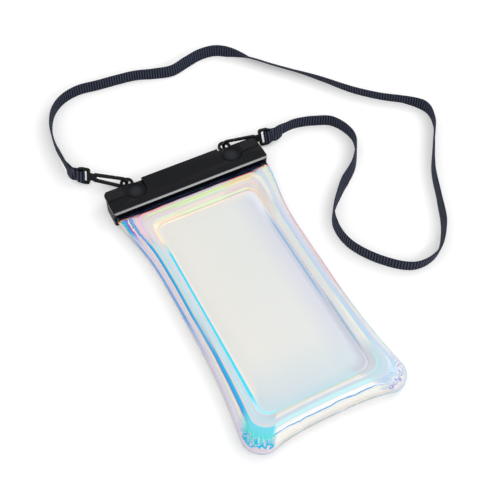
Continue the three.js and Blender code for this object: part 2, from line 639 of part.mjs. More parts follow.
// Strap: woven webbing that stands on edge on the floor. Its route is a list of points chosen
// by hand: x, y and, at its two ends, how far its middle line is above its height on the floor.
const STRAP_ROUTE = [
  [-68.9, 133.3, 2.1], [-69.8, 134.5, 2.0], [-70.6, 138.6, 1.7], [-70.8, 149.0, 0.9],
  [-70.9, 156.5, 0.4], [-71.0, 164.5, 0], [-70.3, 172.0, 0], [-67.5, 186.0, 0],
  [-60.5, 200.2, 0], [-50.0, 209.3, 0], [-36.5, 213.2, 0], [-20.0, 211.6, 0],
  [-4.0, 210.2, 0], [9.5, 208.3, 0], [23.0, 203.6, 0], [37.0, 200.4, 0], [50.5, 204.0, 0],
  [64.0, 207.2, 0], [76.5, 206.0, 0], [86.5, 199.0, 0], [99.5, 186.1, 0], [112.0, 170.5, 0],
  [125.4, 154.6, 0], [138.0, 137.5, 0], [151.0, 118.8, 0], [166.5, 102.6, 0], [182.5, 89.5, 0],
  [191.3, 76.5, 0], [188.4, 61.8, 0], [176.0, 43.8, 0], [161.0, 22.0, 0], [150.0, -1.5, 0],
  [138.5, -24.0, 0], [122.0, -40.5, 0], [103.5, -42.6, 0], [86.0, -28.5, 0], [73.6, -5.0, 0],
  [75.8, 17.0, 0], [94.0, 37.5, 0], [115.0, 54.5, 0], [126.8, 76.0, 0], [121.0, 96.0, 0],
  [109.0, 102.8, 0], [101.0, 105.2, 0.3], [93.0, 106.2, 0.8], [86.0, 105.3, 1.3], [80.2, 103.6, 1.8],
  [76.4, 102.2, 2.1], [75.1, 102.2, 2.2],
];

function makeStrap() {
  const points = STRAP_ROUTE.map(([x, y, lift]) => new THREE.Vector3(x, y, STRAP_Z + lift));
  const route = new THREE.CatmullRomCurve3(points, false, 'centripetal');
  const [w, t, e] = [STRAP_WIDTH / 2, STRAP_THICKNESS / 2, STRAP_SELVEDGE];
  const section = polygon([
    [-w, -t + e], [-w + e, -t], [w - e, -t], [w, -t + e], [w, t - e], [w - e, t], [-w + e, t], [-w, t - e],
  ]);
  return new THREE.ExtrudeGeometry(section, {
    steps: STRAP_STEPS, extrudePath: route, bevelEnabled: false,
  });
}

addMesh('lanyard_strap', makeStrap(), webbing);

export default pouch;
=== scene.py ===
"""Looks of a waterproof phone pouch: inflated clear film with rainbow bands, frosted windows, a
black clamp with two levers, and a ribbed neck strap on moulded hooks. Lengths are metres, Z is up.

The film's colours are laid out as bands, and they hold painted light: the film's rainbow sheen,
white painted highlights along the crests and painted shade in front of the clamp. Each stretch of
the ring round the window has its own list of bands, from the outer weld over the crest to the
window's seam, and the film's UV map says where on that chart each point lies."""

import json
import math

import bmesh
import bpy
import numpy as np
from bpy.props import FloatProperty, FloatVectorProperty, IntProperty, PointerProperty
from mathutils import Euler, Matrix, Vector


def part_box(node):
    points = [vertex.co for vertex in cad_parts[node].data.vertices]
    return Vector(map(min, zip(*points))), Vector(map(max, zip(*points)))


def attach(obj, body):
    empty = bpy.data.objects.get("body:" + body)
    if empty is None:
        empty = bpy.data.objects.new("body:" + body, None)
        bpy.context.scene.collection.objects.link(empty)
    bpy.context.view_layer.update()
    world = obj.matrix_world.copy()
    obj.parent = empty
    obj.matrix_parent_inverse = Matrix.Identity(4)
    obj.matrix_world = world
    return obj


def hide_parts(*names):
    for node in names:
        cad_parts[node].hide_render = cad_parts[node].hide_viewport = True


bl_info = {
    "name": "Waterproof Phone Pouch",
    "version": (1, 0, 0),
    "blender": (4, 5, 0),
    "location": "3D View > Sidebar > Pouch",
    "description": "Builds an inflated clear phone pouch with clamp, levers, hooks and neck strap",
    "category": "Add Mesh",
}

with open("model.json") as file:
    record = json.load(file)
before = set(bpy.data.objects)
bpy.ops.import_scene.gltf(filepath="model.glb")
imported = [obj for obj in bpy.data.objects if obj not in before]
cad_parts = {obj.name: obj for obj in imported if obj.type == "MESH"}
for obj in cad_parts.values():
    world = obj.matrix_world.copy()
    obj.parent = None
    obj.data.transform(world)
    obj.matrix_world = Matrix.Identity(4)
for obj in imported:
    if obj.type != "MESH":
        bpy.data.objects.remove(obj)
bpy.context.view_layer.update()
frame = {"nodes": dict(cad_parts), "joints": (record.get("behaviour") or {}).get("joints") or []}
MM = 0.001

# Places from the frame
BAR_LOW, BAR_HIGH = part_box("front_clamp_bar")
FRONT_Y = BAR_LOW.y
BAR_TOP = BAR_HIGH.z
MIDDLE_Z = (BAR_LOW.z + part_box("back_clamp_bar")[1].z) / 2
WINDOW_LOW, WINDOW_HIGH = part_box("front_window")
LEVER_JOINTS = {joint["child"]: joint["pos_m"] for joint in frame["joints"]}

# Clamp and levers
CLEARANCE = 0.3 * MM
BAR_DEPTH = 23 * MM
BAR_BEVEL = 1.7 * MM
DISH_RADIUS = 5.6 * MM
PIP_COLUMNS, PIP_ROWS = 10, 6
PIPS_FROM_END = 1.9 * MM
PIPS_BEHIND_AXIS = 2.6 * MM
PIP_FLATNESS = 0.7
SHARP_ANGLE = math.radians(32)

# Pouch outline in the plan: half widths, and distances below the clamp's front edge
WINDOW_HALF_WIDTH = WINDOW_HIGH.x + CLEARANCE
WINDOW_TOP = FRONT_Y - WINDOW_HIGH.y - CLEARANCE
WINDOW_BOTTOM = FRONT_Y - WINDOW_LOW.y + CLEARANCE
WINDOW_CORNER = 7 * MM
WAIST_HALF_WIDTH = 49.9 * MM
MOUTH_FLARE = 7.6 * MM
FLARE_LENGTH = 32 * MM
EAR_FLARE = 5.4 * MM
EAR_FLARE_START = 112 * MM
EAR_START = 183 * MM
EAR_HALF_GAP = 42 * MM
BOTTOM_EDGE = 192.7 * MM
EAR_DROP = 4 * MM
MOUTH_HALF_WIDTH = 55.2 * MM
MOUTH_REACH = 10 * MM
WELD_WIDTH = 1.8 * MM
FILM_THICKNESS = 0.45 * MM
POCKET_HALF_GAP = 2.2 * MM
SEAM_RISE = 0.9 * MM
CREST = MIDDLE_Z
CREST_AT_MOUTH = 5.6 * MM
SKIN_ROUNDNESS = 0.6    # exponent of the skin's sine section, lower is squarer
INNER_SLOPE = 0.45      # added to it towards the window, which straightens that slope
WALL_FOOT = 0.35        # share of the way to the seam where the pocket's wall turns flat
SKIN_ROWS = 40
STATIONS = (70, 60, 190, 24, 60)    # on each leg of half the ring
CREST_FALLS = (0.78, 1)             # share of the side leg where the crest starts to drop

# Window panel
PANEL_THICKNESS = 0.6 * MM
DOME_HEIGHT, DOME_REACH = 0.55 * MM, 12 * MM
GROOVE_DEPTH, GROOVE = 0.25 * MM, (1.0 * MM, 2.6 * MM)
PANEL_WAVE, WAVE_START = 0.10 * MM, (3 * MM, 15 * MM)
RIM_REACH, RIM_ROWS = 9 * MM, 28
PANEL_START, PANEL_ROWS = 10.5 * MM, 18

# Hooks and strap. Angles are degrees.
LUG_X = 38.3 * MM
LUG_Y = FRONT_Y + BAR_DEPTH + 6.3 * MM
HOOK_Z = 4.75 * MM
HOOK_SLACK = 0.5 * MM
HOOK_PITCH = 4.5
HOOKS = {
    "left": {"place": (-LUG_X, LUG_Y - HOOK_SLACK, HOOK_Z), "yaw": 143, "lean": 10},
    "right": {"place": (LUG_X - HOOK_SLACK, LUG_Y, HOOK_Z), "yaw": -13, "lean": -17},
}
EYE_BAR_U = 33.4 * MM
STRAP_Z = 5.3 * MM
STRAP_WIDTH = 10 * MM
TURN_RADIUS = 2.4 * MM  # of the strap's middle round an eye
PLY_OFFSET = 0.75 * MM  # from the fold's middle plane to each of its two layers
PLY_LENGTH = 9.5 * MM
FOLD_END = 8 * MM       # how far along the strap its sewn end reaches
# Middle line of the strap: x, y and its height above STRAP_Z, in millimetres
STRAP_ROUTE = [
    (-68.9, 133.3, 2.1), (-69.8, 134.5, 2.0), (-70.6, 138.6, 1.7), (-70.8, 149.0, 0.9),
    (-70.9, 156.5, 0.4), (-71.0, 164.5, 0), (-70.3, 172.0, 0), (-67.5, 186.0, 0),
    (-60.5, 200.2, 0), (-50.0, 209.3, 0), (-36.5, 213.2, 0), (-20.0, 211.6, 0),
    (-4.0, 210.2, 0), (9.5, 208.3, 0), (23.0, 203.6, 0), (37.0, 200.4, 0), (50.5, 204.0, 0),
    (64.0, 207.2, 0), (76.5, 206.0, 0), (86.5, 199.0, 0), (99.5, 186.1, 0), (112.0, 170.5, 0),
    (125.4, 154.6, 0), (138.0, 137.5, 0), (151.0, 118.8, 0), (166.5, 102.6, 0), (182.5, 89.5, 0),
    (191.3, 76.5, 0), (188.4, 61.8, 0), (176.0, 43.8, 0), (161.0, 22.0, 0), (150.0, -1.5, 0),
    (138.5, -24.0, 0), (122.0, -40.5, 0), (103.5, -42.6, 0), (86.0, -28.5, 0), (73.6, -5.0, 0),
    (75.8, 17.0, 0), (94.0, 37.5, 0), (115.0, 54.5, 0), (126.8, 76.0, 0), (121.0, 96.0, 0),
    (109.0, 102.8, 0), (101.0, 105.2, 0.3), (93.0, 106.2, 0.8), (86.0, 105.3, 1.3),
    (80.2, 103.6, 1.8), (76.4, 102.2, 2.1), (75.1, 102.2, 2.2),
]
# How far the strap leans from upright, in degrees, at distances along its route in millimetres
STRAP_LEAN = [
    (0, 0), (150, 0), (186, -15), (225, -8), (245, 44), (284, 41), (305, 28), (328, 19),
    (371, 15), (387, -4), (402, 4), (424, 6), (450, -3), (476, -4), (501, -12), (530, -6),
    (592, 0), (614, 8), (624, 2), (655, -24), (678, -10), (693, 0), (763, 0),
]

# Colours of the film's bands, with painted sheen, highlights and shade among them, then of the
# other materials
COLOURS = {
    "white": 0xFFFFFF, "ivory": 0xFAFAEC, "cream": 0xFFF4D8, "pearl": 0xE5E3DE, "stone": 0xE4E8DA,
    "shade": 0xDCD4D3, "mist": 0xE2E6EE, "dusk": 0xC8CBD7, "slate": 0xC8DAE2, "ice": 0xC8DEE8,
    "lemon": 0xE6F5CC, "olive": 0xCCDC8C, "gold": 0xE0CC96, "peach": 0xFBE4CC, "orange": 0xF59424,
    "red": 0xE24E5E, "rose": 0xFAE0DC, "pink": 0xF2C4DC, "plum": 0xE2A8C0, "magenta": 0xE060C0,
    "lilac": 0xF4EAFC, "lavender": 0xDCD2EC, "violet": 0x766AD0, "mint": 0xE0F5E4,
    "light_cyan": 0xC4EAF0, "pale_cyan": 0xACE8F0, "teal": 0xA8DAE2, "aqua": 0x68D0E0,
    "turquoise": 0x5CD4D8, "cyan": 0x3CD8EE, "deep_cyan": 0x00BEDC, "azure": 0x10AEE0,
    "blue": 0x0086E0, "bright_blue": 0x58AEF6, "sky": 0xAECBE2, "soft_blue": 0x86ACD4,
    "navy": 0x16284A, "ink": 0x0A0E1A,
    "window_left": 0xE5E3DC, "window_right": 0xCFD2E0, "window_bottom": 0xCCD9DF,
    # On the next line, the levers' paler dish tone is painted light and their dark ring tone
    # painted shade.
    "plastic_bloom": 0x14161E, "rubbed": 0x24262D, "dark_ring": 0x020204,
    "rubber_dark": 0x34363C, "rubber": 0x44464E, "thread_dark": 0x1C1E24, "thread": 0x3A3D48,
    # On the next line, the webbing's dark rib gap tone is painted shade and its bright thread tone
    # a painted highlight.
    "rib_gap": 0x04050A, "warp": 0x5C6484, "fuzz": 0x3C4050,
}


def linear(code):
    """Linear colour from a hexadecimal sRGB code."""
    channels = [((code >> shift) & 255) / 255 for shift in (16, 8, 0)]
    return tuple(c / 12.92 if c <= 0.04045 else ((c + 0.055) / 1.055) ** 2.4 for c in channels)


def smooth_step(value, low, high):
    """0 below low, 1 above high, with a smooth turn between them."""
    share = np.clip((np.asarray(value, float) - low) / (high - low), 0, 1)
    return share * share * (3 - 2 * share)


# Bands across the film, from the outer edge (0) over the crest to the window seam (1), and on
# over the window's rim (to RAMP_REACH), where INSET_UNIT from the seam counts as 1. One list for
# each stretch of the ring, in order from the bottom over the right side and the top to the left
# side. The skin's inner side lies off the chart, at INNER_SIDE. The bands hold painted light: the
# film's rainbow sheen as fixed colour, white painted highlights along the crests, paler colours as
# painted light on slopes that render in shade, and navy painted shade in front of the clamp.
RAMP_REACH = 1.8
INSET_UNIT = 10 * MM
INNER_SIDE = 2.5
UNDER_EDGE = 0.05
BANDS = {
    # White from 0.35 to 0.46 is a painted highlight along the crest; the white towards the edge and
    # from 0.725 to 0.785 is painted light on slopes that render in shade.
    "bottom": [
        (0, "shade"), (0.012, "shade"), (0.03, "pale_cyan"), (0.045, "white"), (0.092, "peach"),
        (0.108, "peach"), (0.125, "white"), (0.15, "white"), (0.17, "ivory"), (0.22, "white"),
        (0.29, "ivory"), (0.305, "peach"), (0.316, "azure"), (0.335, "blue"), (0.35, "white"),
        (0.46, "white"), (0.475, "rose"), (0.49, "pale_cyan"), (0.51, "pale_cyan"),
        (0.53, "light_cyan"), (0.585, "light_cyan"), (0.605, "ice"), (0.7, "mist"),
        (0.725, "white"), (0.785, "white"), (0.8, "mist"), (0.815, "cream"), (0.84, "cream"),
        (0.87, "peach"), (0.9, "light_cyan"), (1, "light_cyan"), (1.04, "slate"),
    ],
    "ear_right": [
        (0, "light_cyan"), (0.03, "mist"), (0.06, "lilac"), (0.1, "ivory"), (0.15, "mist"),
        (0.165, "violet"), (0.18, "violet"), (0.195, "mist"), (0.24, "sky"), (0.25, "white"),
        (0.3, "mist"), (0.38, "sky"), (0.46, "sky"), (0.52, "mist"), (0.56, "ice"), (0.72, "ice"),
        (0.79, "light_cyan"), (0.83, "mist"), (1, "mist"), (1.1, "dusk"),
    ],
    # On the right side the white towards the seam is painted light on the inner slope, which faces
    # away from the key lamp and renders in shade.
    "side_right_low": [
        (0, "light_cyan"), (0.02, "light_cyan"), (0.05, "ivory"), (0.24, "ivory"), (0.28, "mist"),
        (0.38, "mist"), (0.42, "lavender"), (0.45, "lavender"), (0.48, "sky"), (0.63, "sky"),
        (0.66, "ivory"), (0.735, "ivory"), (0.77, "white"), (0.92, "white"), (0.96, "sky"),
        (1, "sky"), (1.03, "dusk"), (1.4, "dusk"), (1.6, "mist"),
    ],
    "side_right": [
        (0, "plum"), (0.035, "plum"), (0.06, "ivory"), (0.22, "ivory"), (0.27, "mist"),
        (0.44, "mist"), (0.48, "lavender"), (0.555, "lavender"), (0.59, "sky"), (0.68, "sky"),
        (0.71, "ivory"), (0.79, "ivory"), (0.82, "white"), (0.98, "white"), (1.01, "rose"),
        (1.04, "rose"), (1.06, "soft_blue"), (1.12, "sky"), (1.16, "soft_blue"),
        (1.22, "soft_blue"), (1.25, "dusk"), (1.45, "dusk"), (1.65, "mist"),
    ],
    "corner_right": [
        (0, "soft_blue"), (0.04, "pale_cyan"), (0.08, "mist"), (0.105, "plum"), (0.125, "plum"),
        (0.14, "ivory"), (0.25, "mint"), (0.34, "ivory"), (0.42, "mist"), (0.5, "ice"),
        (0.58, "mist"), (0.63, "ivory"), (0.69, "ivory"), (0.74, "mist"), (0.84, "rose"),
        (0.88, "mint"), (0.94, "rose"), (1, "peach"), (1.06, "mist"), (1.2, "mist"),
    ],
    # The top lists begin at 0.4 in navy and ink: painted shade below the clamp's front edge.
    "top_right": [
        (0.4, "navy"), (0.53, "navy"), (0.55, "ink"), (0.565, "orange"), (0.58, "red"),
        (0.6, "pink"), (0.625, "lemon"), (0.65, "gold"), (0.72, "gold"), (0.77, "peach"),
        (0.8, "mint"), (0.835, "rose"), (0.88, "pearl"), (0.915, "pink"), (0.945, "lemon"),
        (0.975, "lemon"), (1, "lavender"), (1.03, "rose"), (1.1, "rose"), (1.14, "pearl"),
    ],
    "top_middle": [
        (0.4, "navy"), (0.51, "navy"), (0.53, "ink"), (0.545, "ink"), (0.56, "plum"),
        (0.58, "rose"), (0.615, "mist"), (0.65, "mint"), (0.685, "lemon"), (0.705, "olive"),
        (0.73, "olive"), (0.76, "lemon"), (0.785, "mint"), (0.8, "mint"), (0.82, "stone"),
        (0.845, "rose"), (0.865, "rose"), (0.885, "ivory"), (0.91, "rose"), (0.935, "lemon"),
        (0.98, "lemon"), (1, "mint"), (1.03, "peach"), (1.12, "peach"), (1.18, "pearl"),
    ],
    "top_left": [
        (0.4, "navy"), (0.52, "navy"), (0.545, "ink"), (0.56, "red"), (0.58, "orange"),
        (0.6, "pink"), (0.66, "rose"), (0.7, "lemon"), (0.73, "olive"), (0.76, "mist"),
        (0.8, "rose"), (0.85, "mist"), (0.88, "ivory"), (0.92, "lemon"), (0.96, "peach"),
        (1, "peach"), (1.03, "cream"), (1.12, "cream"), (1.18, "pearl"),
    ],
    "corner_left": [
        (0, "shade"), (0.03, "cream"), (0.08, "rose"), (0.11, "deep_cyan"), (0.17, "azure"),
        (0.21, "violet"), (0.25, "violet"), (0.27, "magenta"), (0.29, "cream"), (0.33, "cream"),
        (0.345, "blue"), (0.38, "soft_blue"), (0.41, "blue"), (0.44, "lavender"), (0.5, "rose"),
        (0.58, "pink"), (0.68, "mist"), (0.78, "rose"), (0.84, "mist"), (0.92, "peach"),
        (1, "cream"), (1.1, "pearl"),
    ],
    "side_left": [
        (0, "shade"), (0.02, "shade"), (0.035, "bright_blue"), (0.1, "bright_blue"),
        (0.12, "rose"), (0.15, "lilac"), (0.18, "lavender"), (0.24, "lilac"), (0.28, "rose"),
        (0.32, "mist"), (0.34, "cream"), (0.365, "cream"), (0.38, "violet"), (0.4, "blue"),
        (0.425, "azure"), (0.47, "azure"), (0.5, "teal"), (0.53, "rose"), (0.56, "rose"),
        (0.585, "teal"), (0.62, "teal"), (0.66, "ice"), (0.78, "mist"), (0.93, "mist"),
        (0.95, "cyan"), (1.05, "cyan"), (1.08, "pale_cyan"), (1.11, "rose"), (1.18, "rose"),
        (1.22, "pearl"),
    ],
    "side_left_low": [
        (0, "shade"), (0.03, "lilac"), (0.06, "lilac"), (0.2, "lilac"), (0.26, "mist"),
        (0.33, "ivory"), (0.4, "cream"), (0.43, "violet"), (0.45, "blue"), (0.48, "azure"),
        (0.56, "azure"), (0.6, "rose"), (0.63, "rose"), (0.66, "teal"), (0.72, "ice"),
        (0.9, "ice"), (0.945, "cyan"), (1.05, "cyan"), (1.09, "pale_cyan"), (1.12, "rose"),
        (1.17, "rose"), (1.22, "pearl"),
    ],
    "ear_left": [
        (0, "shade"), (0.03, "lilac"), (0.07, "lilac"), (0.1, "rose"), (0.118, "azure"),
        (0.15, "deep_cyan"), (0.2, "azure"), (0.212, "rose"), (0.222, "rose"),
        (0.235, "deep_cyan"), (0.28, "deep_cyan"), (0.295, "rose"), (0.31, "turquoise"),
        (0.42, "turquoise"), (0.46, "aqua"), (0.57, "aqua"), (0.6, "mist"), (0.65, "mist"),
        (0.68, "ice"), (0.86, "ice"), (0.9, "mist"), (0.98, "pale_cyan"), (1.05, "pale_cyan"),
        (1.1, "slate"),
    ],
}
STRETCHES = list(BANDS)

# Where along the ring each stretch begins and ends. The ring's legs count up from the bottom
# middle: 0 to 1 bottom, to 2 ear, to 3 side, to 4 top corner, to 5 top middle.
RIGHT_TURNS = [
    (0.80, "bottom"), (0.97, "ear_right"), (2.02, "ear_right"), (2.1, "side_right_low"),
    (2.25, "side_right_low"), (2.42, "side_right"), (2.80, "side_right"), (2.93, "corner_right"),
    (3.45, "corner_right"), (3.9, "top_right"), (4.3, "top_right"), (4.6, "top_middle"),
]
LEFT_TURNS = [
    (0.93, "bottom"), (0.99, "ear_left"), (2.0, "ear_left"), (2.06, "side_left_low"),
    (2.3, "side_left_low"), (2.5, "side_left"), (2.86, "side_left"), (2.94, "corner_left"),
    (3.4, "corner_left"), (4.04, "top_left"), (4.3, "top_left"), (4.6, "top_middle"),
]


# The curve and fold of the strap, its stitches, and the film's slow waves
STRAP_SAMPLES, TURN_SAMPLES, PATH_STEP = 3700, 60, 20
TUCKED = (TURN_RADIUS, 3.9 * MM)        # its first points past the eye's bar
HOOK_LEAN_FADE = (2 * MM, 16 * MM)      # where it stops leaning with the hook
PLY_FADE = (8 * MM, 15 * MM)            # where the fold's outer layer comes to the middle
STRAP_SECTION = ((-0.97, 0.62), (-0.9, 0.86), (-0.45, 1), (0, 1), (0.45, 1), (0.9, 0.86),
                 (0.97, 0.62))          # upper side, as shares of half the width and thickness
WARP_PITCH = 0.55 * MM
STITCH_ROW_GAP, STITCH_PITCH, STITCHES_OUT = 1.6 * MM, 1.9 * MM, 3.4 * MM
SLOW_WAVES = ((0.10 * MM, 47 * MM, 0.6), (0.06 * MM, 19 * MM, 0.0))    # height, length, phase


class PouchFilmSettings(bpy.types.PropertyGroup):
    """Sizes and finish of the inflated film."""

    wrinkle_depth: FloatProperty(
        name="Wrinkle depth", description="Depth of the gathers at the ears and top corners",
        default=0.4 * MM, unit="LENGTH")
    wrinkle_spacing: FloatProperty(
        name="Wrinkle spacing", description="Distance between gathers along the edge",
        default=5 * MM, unit="LENGTH")
    clearness: FloatProperty(
        name="Clearness", description="How much of what is behind shows through a pale band",
        default=0.22, min=0, max=1, subtype="FACTOR")
    gloss_roughness: FloatProperty(
        name="Roughness", description="Roughness of the glossy film", default=0.09, min=0, max=1)
    window_tint: FloatVectorProperty(
        name="Window tint", description="Colour of the frosted window", subtype="COLOR",
        default=linear(0xDFE1DE), min=0, max=1)
    window_clearness: FloatProperty(
        name="Window clearness", description="How much shows through the window",
        default=0.08, min=0, max=1, subtype="FACTOR")


class PouchClampSettings(bpy.types.PropertyGroup):
    """Finish of the moulded parts."""

    edge_radius: FloatProperty(
        name="Edge radius", description="Rounding of the clamp's moulded edges",
        default=0.3 * MM, unit="LENGTH")
    hook_edge_radius: FloatProperty(
        name="Hook edge radius", description="Rounding of the hooks' edges",
        default=0.5 * MM, unit="LENGTH")
    plastic_colour: FloatVectorProperty(
        name="Clamp colour", description="Colour of the clamp's plastic", subtype="COLOR",
        default=linear(0x0B0C11), min=0, max=1)
    hook_colour: FloatVectorProperty(
        name="Hook colour", description="Colour of the hooks' plastic", subtype="COLOR",
        default=linear(0x07080C), min=0, max=1)
    pip_spacing: FloatProperty(
        name="Pip spacing", description="Distance between the grip pips on a lever's tab",
        default=1.15 * MM, unit="LENGTH")
    pip_radius: FloatProperty(
        name="Pip radius", description="Radius of one grip pip", default=0.36 * MM, unit="LENGTH")


class PouchStrapSettings(bpy.types.PropertyGroup):
    """Sizes and colour of the webbing."""

    thickness: FloatProperty(
        name="Thickness", description="Thickness of the webbing", default=1.4 * MM, unit="LENGTH")
    rib_pitch: FloatProperty(
        name="Rib pitch", description="Distance between the webbing's cross ribs",
        default=2 * MM, unit="LENGTH")
    rib_depth: FloatProperty(
        name="Rib depth", description="Depth of the grooves between ribs", default=0.16 * MM,
        unit="LENGTH")
    colour: FloatVectorProperty(
        name="Colour", description="Colour of the webbing", subtype="COLOR",
        default=linear(0x272B39), min=0, max=1)
    stitch_length: FloatProperty(
        name="Stitch length", description="Length of one stitch", default=1.5 * MM, unit="LENGTH")
    stitch_count: IntProperty(
        name="Stitches", description="Stitches in one row", default=5, min=1)


class PouchStageSettings(bpy.types.PropertyGroup):
    """Camera and lights."""

    eye: FloatVectorProperty(
        name="Eye", description="Where the camera stands", subtype="TRANSLATION",
        default=(-0.14914, -0.29617, 0.48922))
    target: FloatVectorProperty(
        name="Target", description="Point that the camera looks at", subtype="TRANSLATION",
        default=(0.01115, 0.01638, 0.0085))
    lens: FloatProperty(name="Lens", description="Focal length in millimetres", default=64.8)
    world_level: FloatProperty(
        name="World level", description="Strength of the even light", default=0.9, min=0)


# Shader nodes
class Shader:
    """The nodes of a new material or world, with a short call for each kind that is used here."""

    def __init__(self, name, kind="materials"):
        self.owner = getattr(bpy.data, kind).new(name)
        self.owner.use_nodes = True
        self.tree = self.owner.node_tree
        self.tree.nodes.clear()

    def feed(self, socket, value):
        if isinstance(value, bpy.types.NodeSocket):
            self.tree.links.new(value, socket)
        else:
            socket.default_value = value

    def node(self, kind, inputs=(), **settings):
        made = self.tree.nodes.new(kind)
        for key, value in settings.items():
            setattr(made, key, value)
        for key, value in dict(inputs).items():
            self.feed(made.inputs[key], value)
        return made

    def math(self, operation, *values, clamp=False):
        inputs = dict(enumerate(values))
        return self.node("ShaderNodeMath", inputs, operation=operation, use_clamp=clamp).outputs[0]

    def plus(self, first, second, clamp=False):
        return self.math("ADD", first, second, clamp=clamp)

    def minus(self, first, second, clamp=False):
        return self.math("SUBTRACT", first, second, clamp=clamp)

    def times(self, first, second):
        return self.math("MULTIPLY", first, second)

    def absolute(self, value):
        return self.math("ABSOLUTE", value)

    def rest(self, share):
        return self.minus(1.0, share)

    def mix(self, factor, first, second):
        inputs = {"Factor": factor, "A": colour4(first), "B": colour4(second)}
        return self.node("ShaderNodeMix", inputs, data_type="RGBA").outputs["Result"]

    def ramp(self, factor, stops):
        made = self.node("ShaderNodeValToRGB", {"Fac": factor})
        elements = made.color_ramp.elements
        while len(elements) > 1:
            elements.remove(elements[-1])
        for index, (place, colour) in enumerate(stops):
            element = elements.new(place) if index else elements[0]
            element.position = place
            element.color = colour4(colour)
        return made.outputs["Color"]

    def range(self, value, low, high, to_low=0.0, to_high=1.0):
        """A smooth step from to_low, at low, to to_high, at high."""
        made = self.node("ShaderNodeMapRange", {
            "Value": value, "From Min": low, "From Max": high, "To Min": to_low, "To Max": to_high,
        }, interpolation_type="SMOOTHSTEP")
        return made.outputs["Result"]

    def fade(self, value, low, high, start=1.0):
        """A smooth step from start, at low, to 0, at high."""
        return self.range(value, low, high, start, 0.0)

    def between(self, share, low, high):
        inputs = {"Value": share, "To Min": low, "To Max": high}
        return self.node("ShaderNodeMapRange", inputs).outputs["Result"]

    def noise(self, vector, scale, detail=2.0, distortion=0.0):
        inputs = {"Vector": vector, "Scale": scale, "Detail": detail, "Distortion": distortion}
        return self.node("ShaderNodeTexNoise", inputs).outputs["Fac"]

    def near(self, around, stretch):
        """1 in a stretch of the ring, falling to 0 in its neighbours."""
        index = STRETCHES.index(stretch)
        distance = self.absolute(self.minus(around, float(index)))
        if index == 0:
            wrapped = self.absolute(self.minus(around, float(len(STRETCHES))))
            distance = self.math("MINIMUM", distance, wrapped)
        return self.minus(1.0, distance, clamp=True)

    def near_both(self, around, word):
        return self.plus(self.near(around, f"{word}_left"), self.near(around, f"{word}_right"))

    def object_coordinates(self):
        return self.node("ShaderNodeTexCoord").outputs["Object"]

    def axes(self, vector):
        return self.node("ShaderNodeSeparateXYZ", {"Vector": vector}).outputs

    def uv_axes(self, uv_map):
        return self.axes(self.node("ShaderNodeUVMap", uv_map=uv_map).outputs[0])

    def stretched(self, vector, scale):
        return self.node("ShaderNodeMapping", {"Vector": vector, "Scale": scale}).outputs["Vector"]

    def bump(self, height, strength, distance):
        inputs = {"Height": height, "Strength": strength, "Distance": distance}
        return self.node("ShaderNodeBump", inputs).outputs["Normal"]

    def surfaced(self, **inputs):
        """The material with a Principled surface. Input names have _ for a space."""
        inputs = {key.replace("_", " "): value for key, value in inputs.items()}
        return self.finished(self.node("ShaderNodeBsdfPrincipled", inputs))

    def finished(self, surface, kind="Material"):
        self.node(f"ShaderNodeOutput{kind}", {"Surface": surface.outputs[0]})
        return self.owner


def colour4(value):
    """A colour or a colour's name as red, green, blue and alpha. A socket stays as it is."""
    if isinstance(value, bpy.types.NodeSocket):
        return value
    if isinstance(value, str):
        value = linear(COLOURS[value])
    return (*value[:3], 1.0)


# Film shading: noise scales are cycles per metre, and the pairs are ends of smooth steps
OUTER_HALF = (0.3, 0.5)                 # across the film, where its outer half ends
DRIFT_NOISE = (70.0, 3.0, 0.4)          # scale, detail and distortion
DRIFT_REACH = (0.03, 0.17)              # of the bands, on tight and on loose film
CURL_NOISE = (190.0, 2.5, 0.9)
CURL_REACH = 0.6                        # of the bands, where the film gathers
RIPPLE_SCALE, RIPPLE_STRENGTH, RIPPLE_DEPTH = 90.0, 0.25, 0.4 * MM
COLOURED = (0.05, 0.6)                  # saturations between clear film and a full band
INNER_CLEARNESS = 0.8                   # of the skin's inner side
WINDOW_ROUGHNESS = 0.28
WINDOW_FRAME = (1.2, 1.75)              # across the film, where the window's own tint takes over
CLOUD_SCALE, CLOUD_SHARE = 22.0, 0.12
GATHERED = (0.07, 0.14)                 # across the film, where gathering starts past the weld
CORNER_GATHER = 0.45                    # of the left top corner, against the ears' 1
# Painted shade: a dark strip in front of the clamp, by distance from the middle and from the clamp
STRIP_NARROWS = (44 * MM, 60 * MM)
STRIP_WIDTHS = (5.4 * MM, 2.2 * MM)
STRIP_EDGE = (-0.3 * MM, 0.3 * MM)
STRIP_EDGE_AT_TOP = (-1.4 * MM, -0.8 * MM)
LINE_PAST_STRIP = 0.6 * MM
LINE_EDGE = (0.4 * MM, 0.8 * MM)
LINE_RED_TO_ORANGE = (48 * MM, 51 * MM)


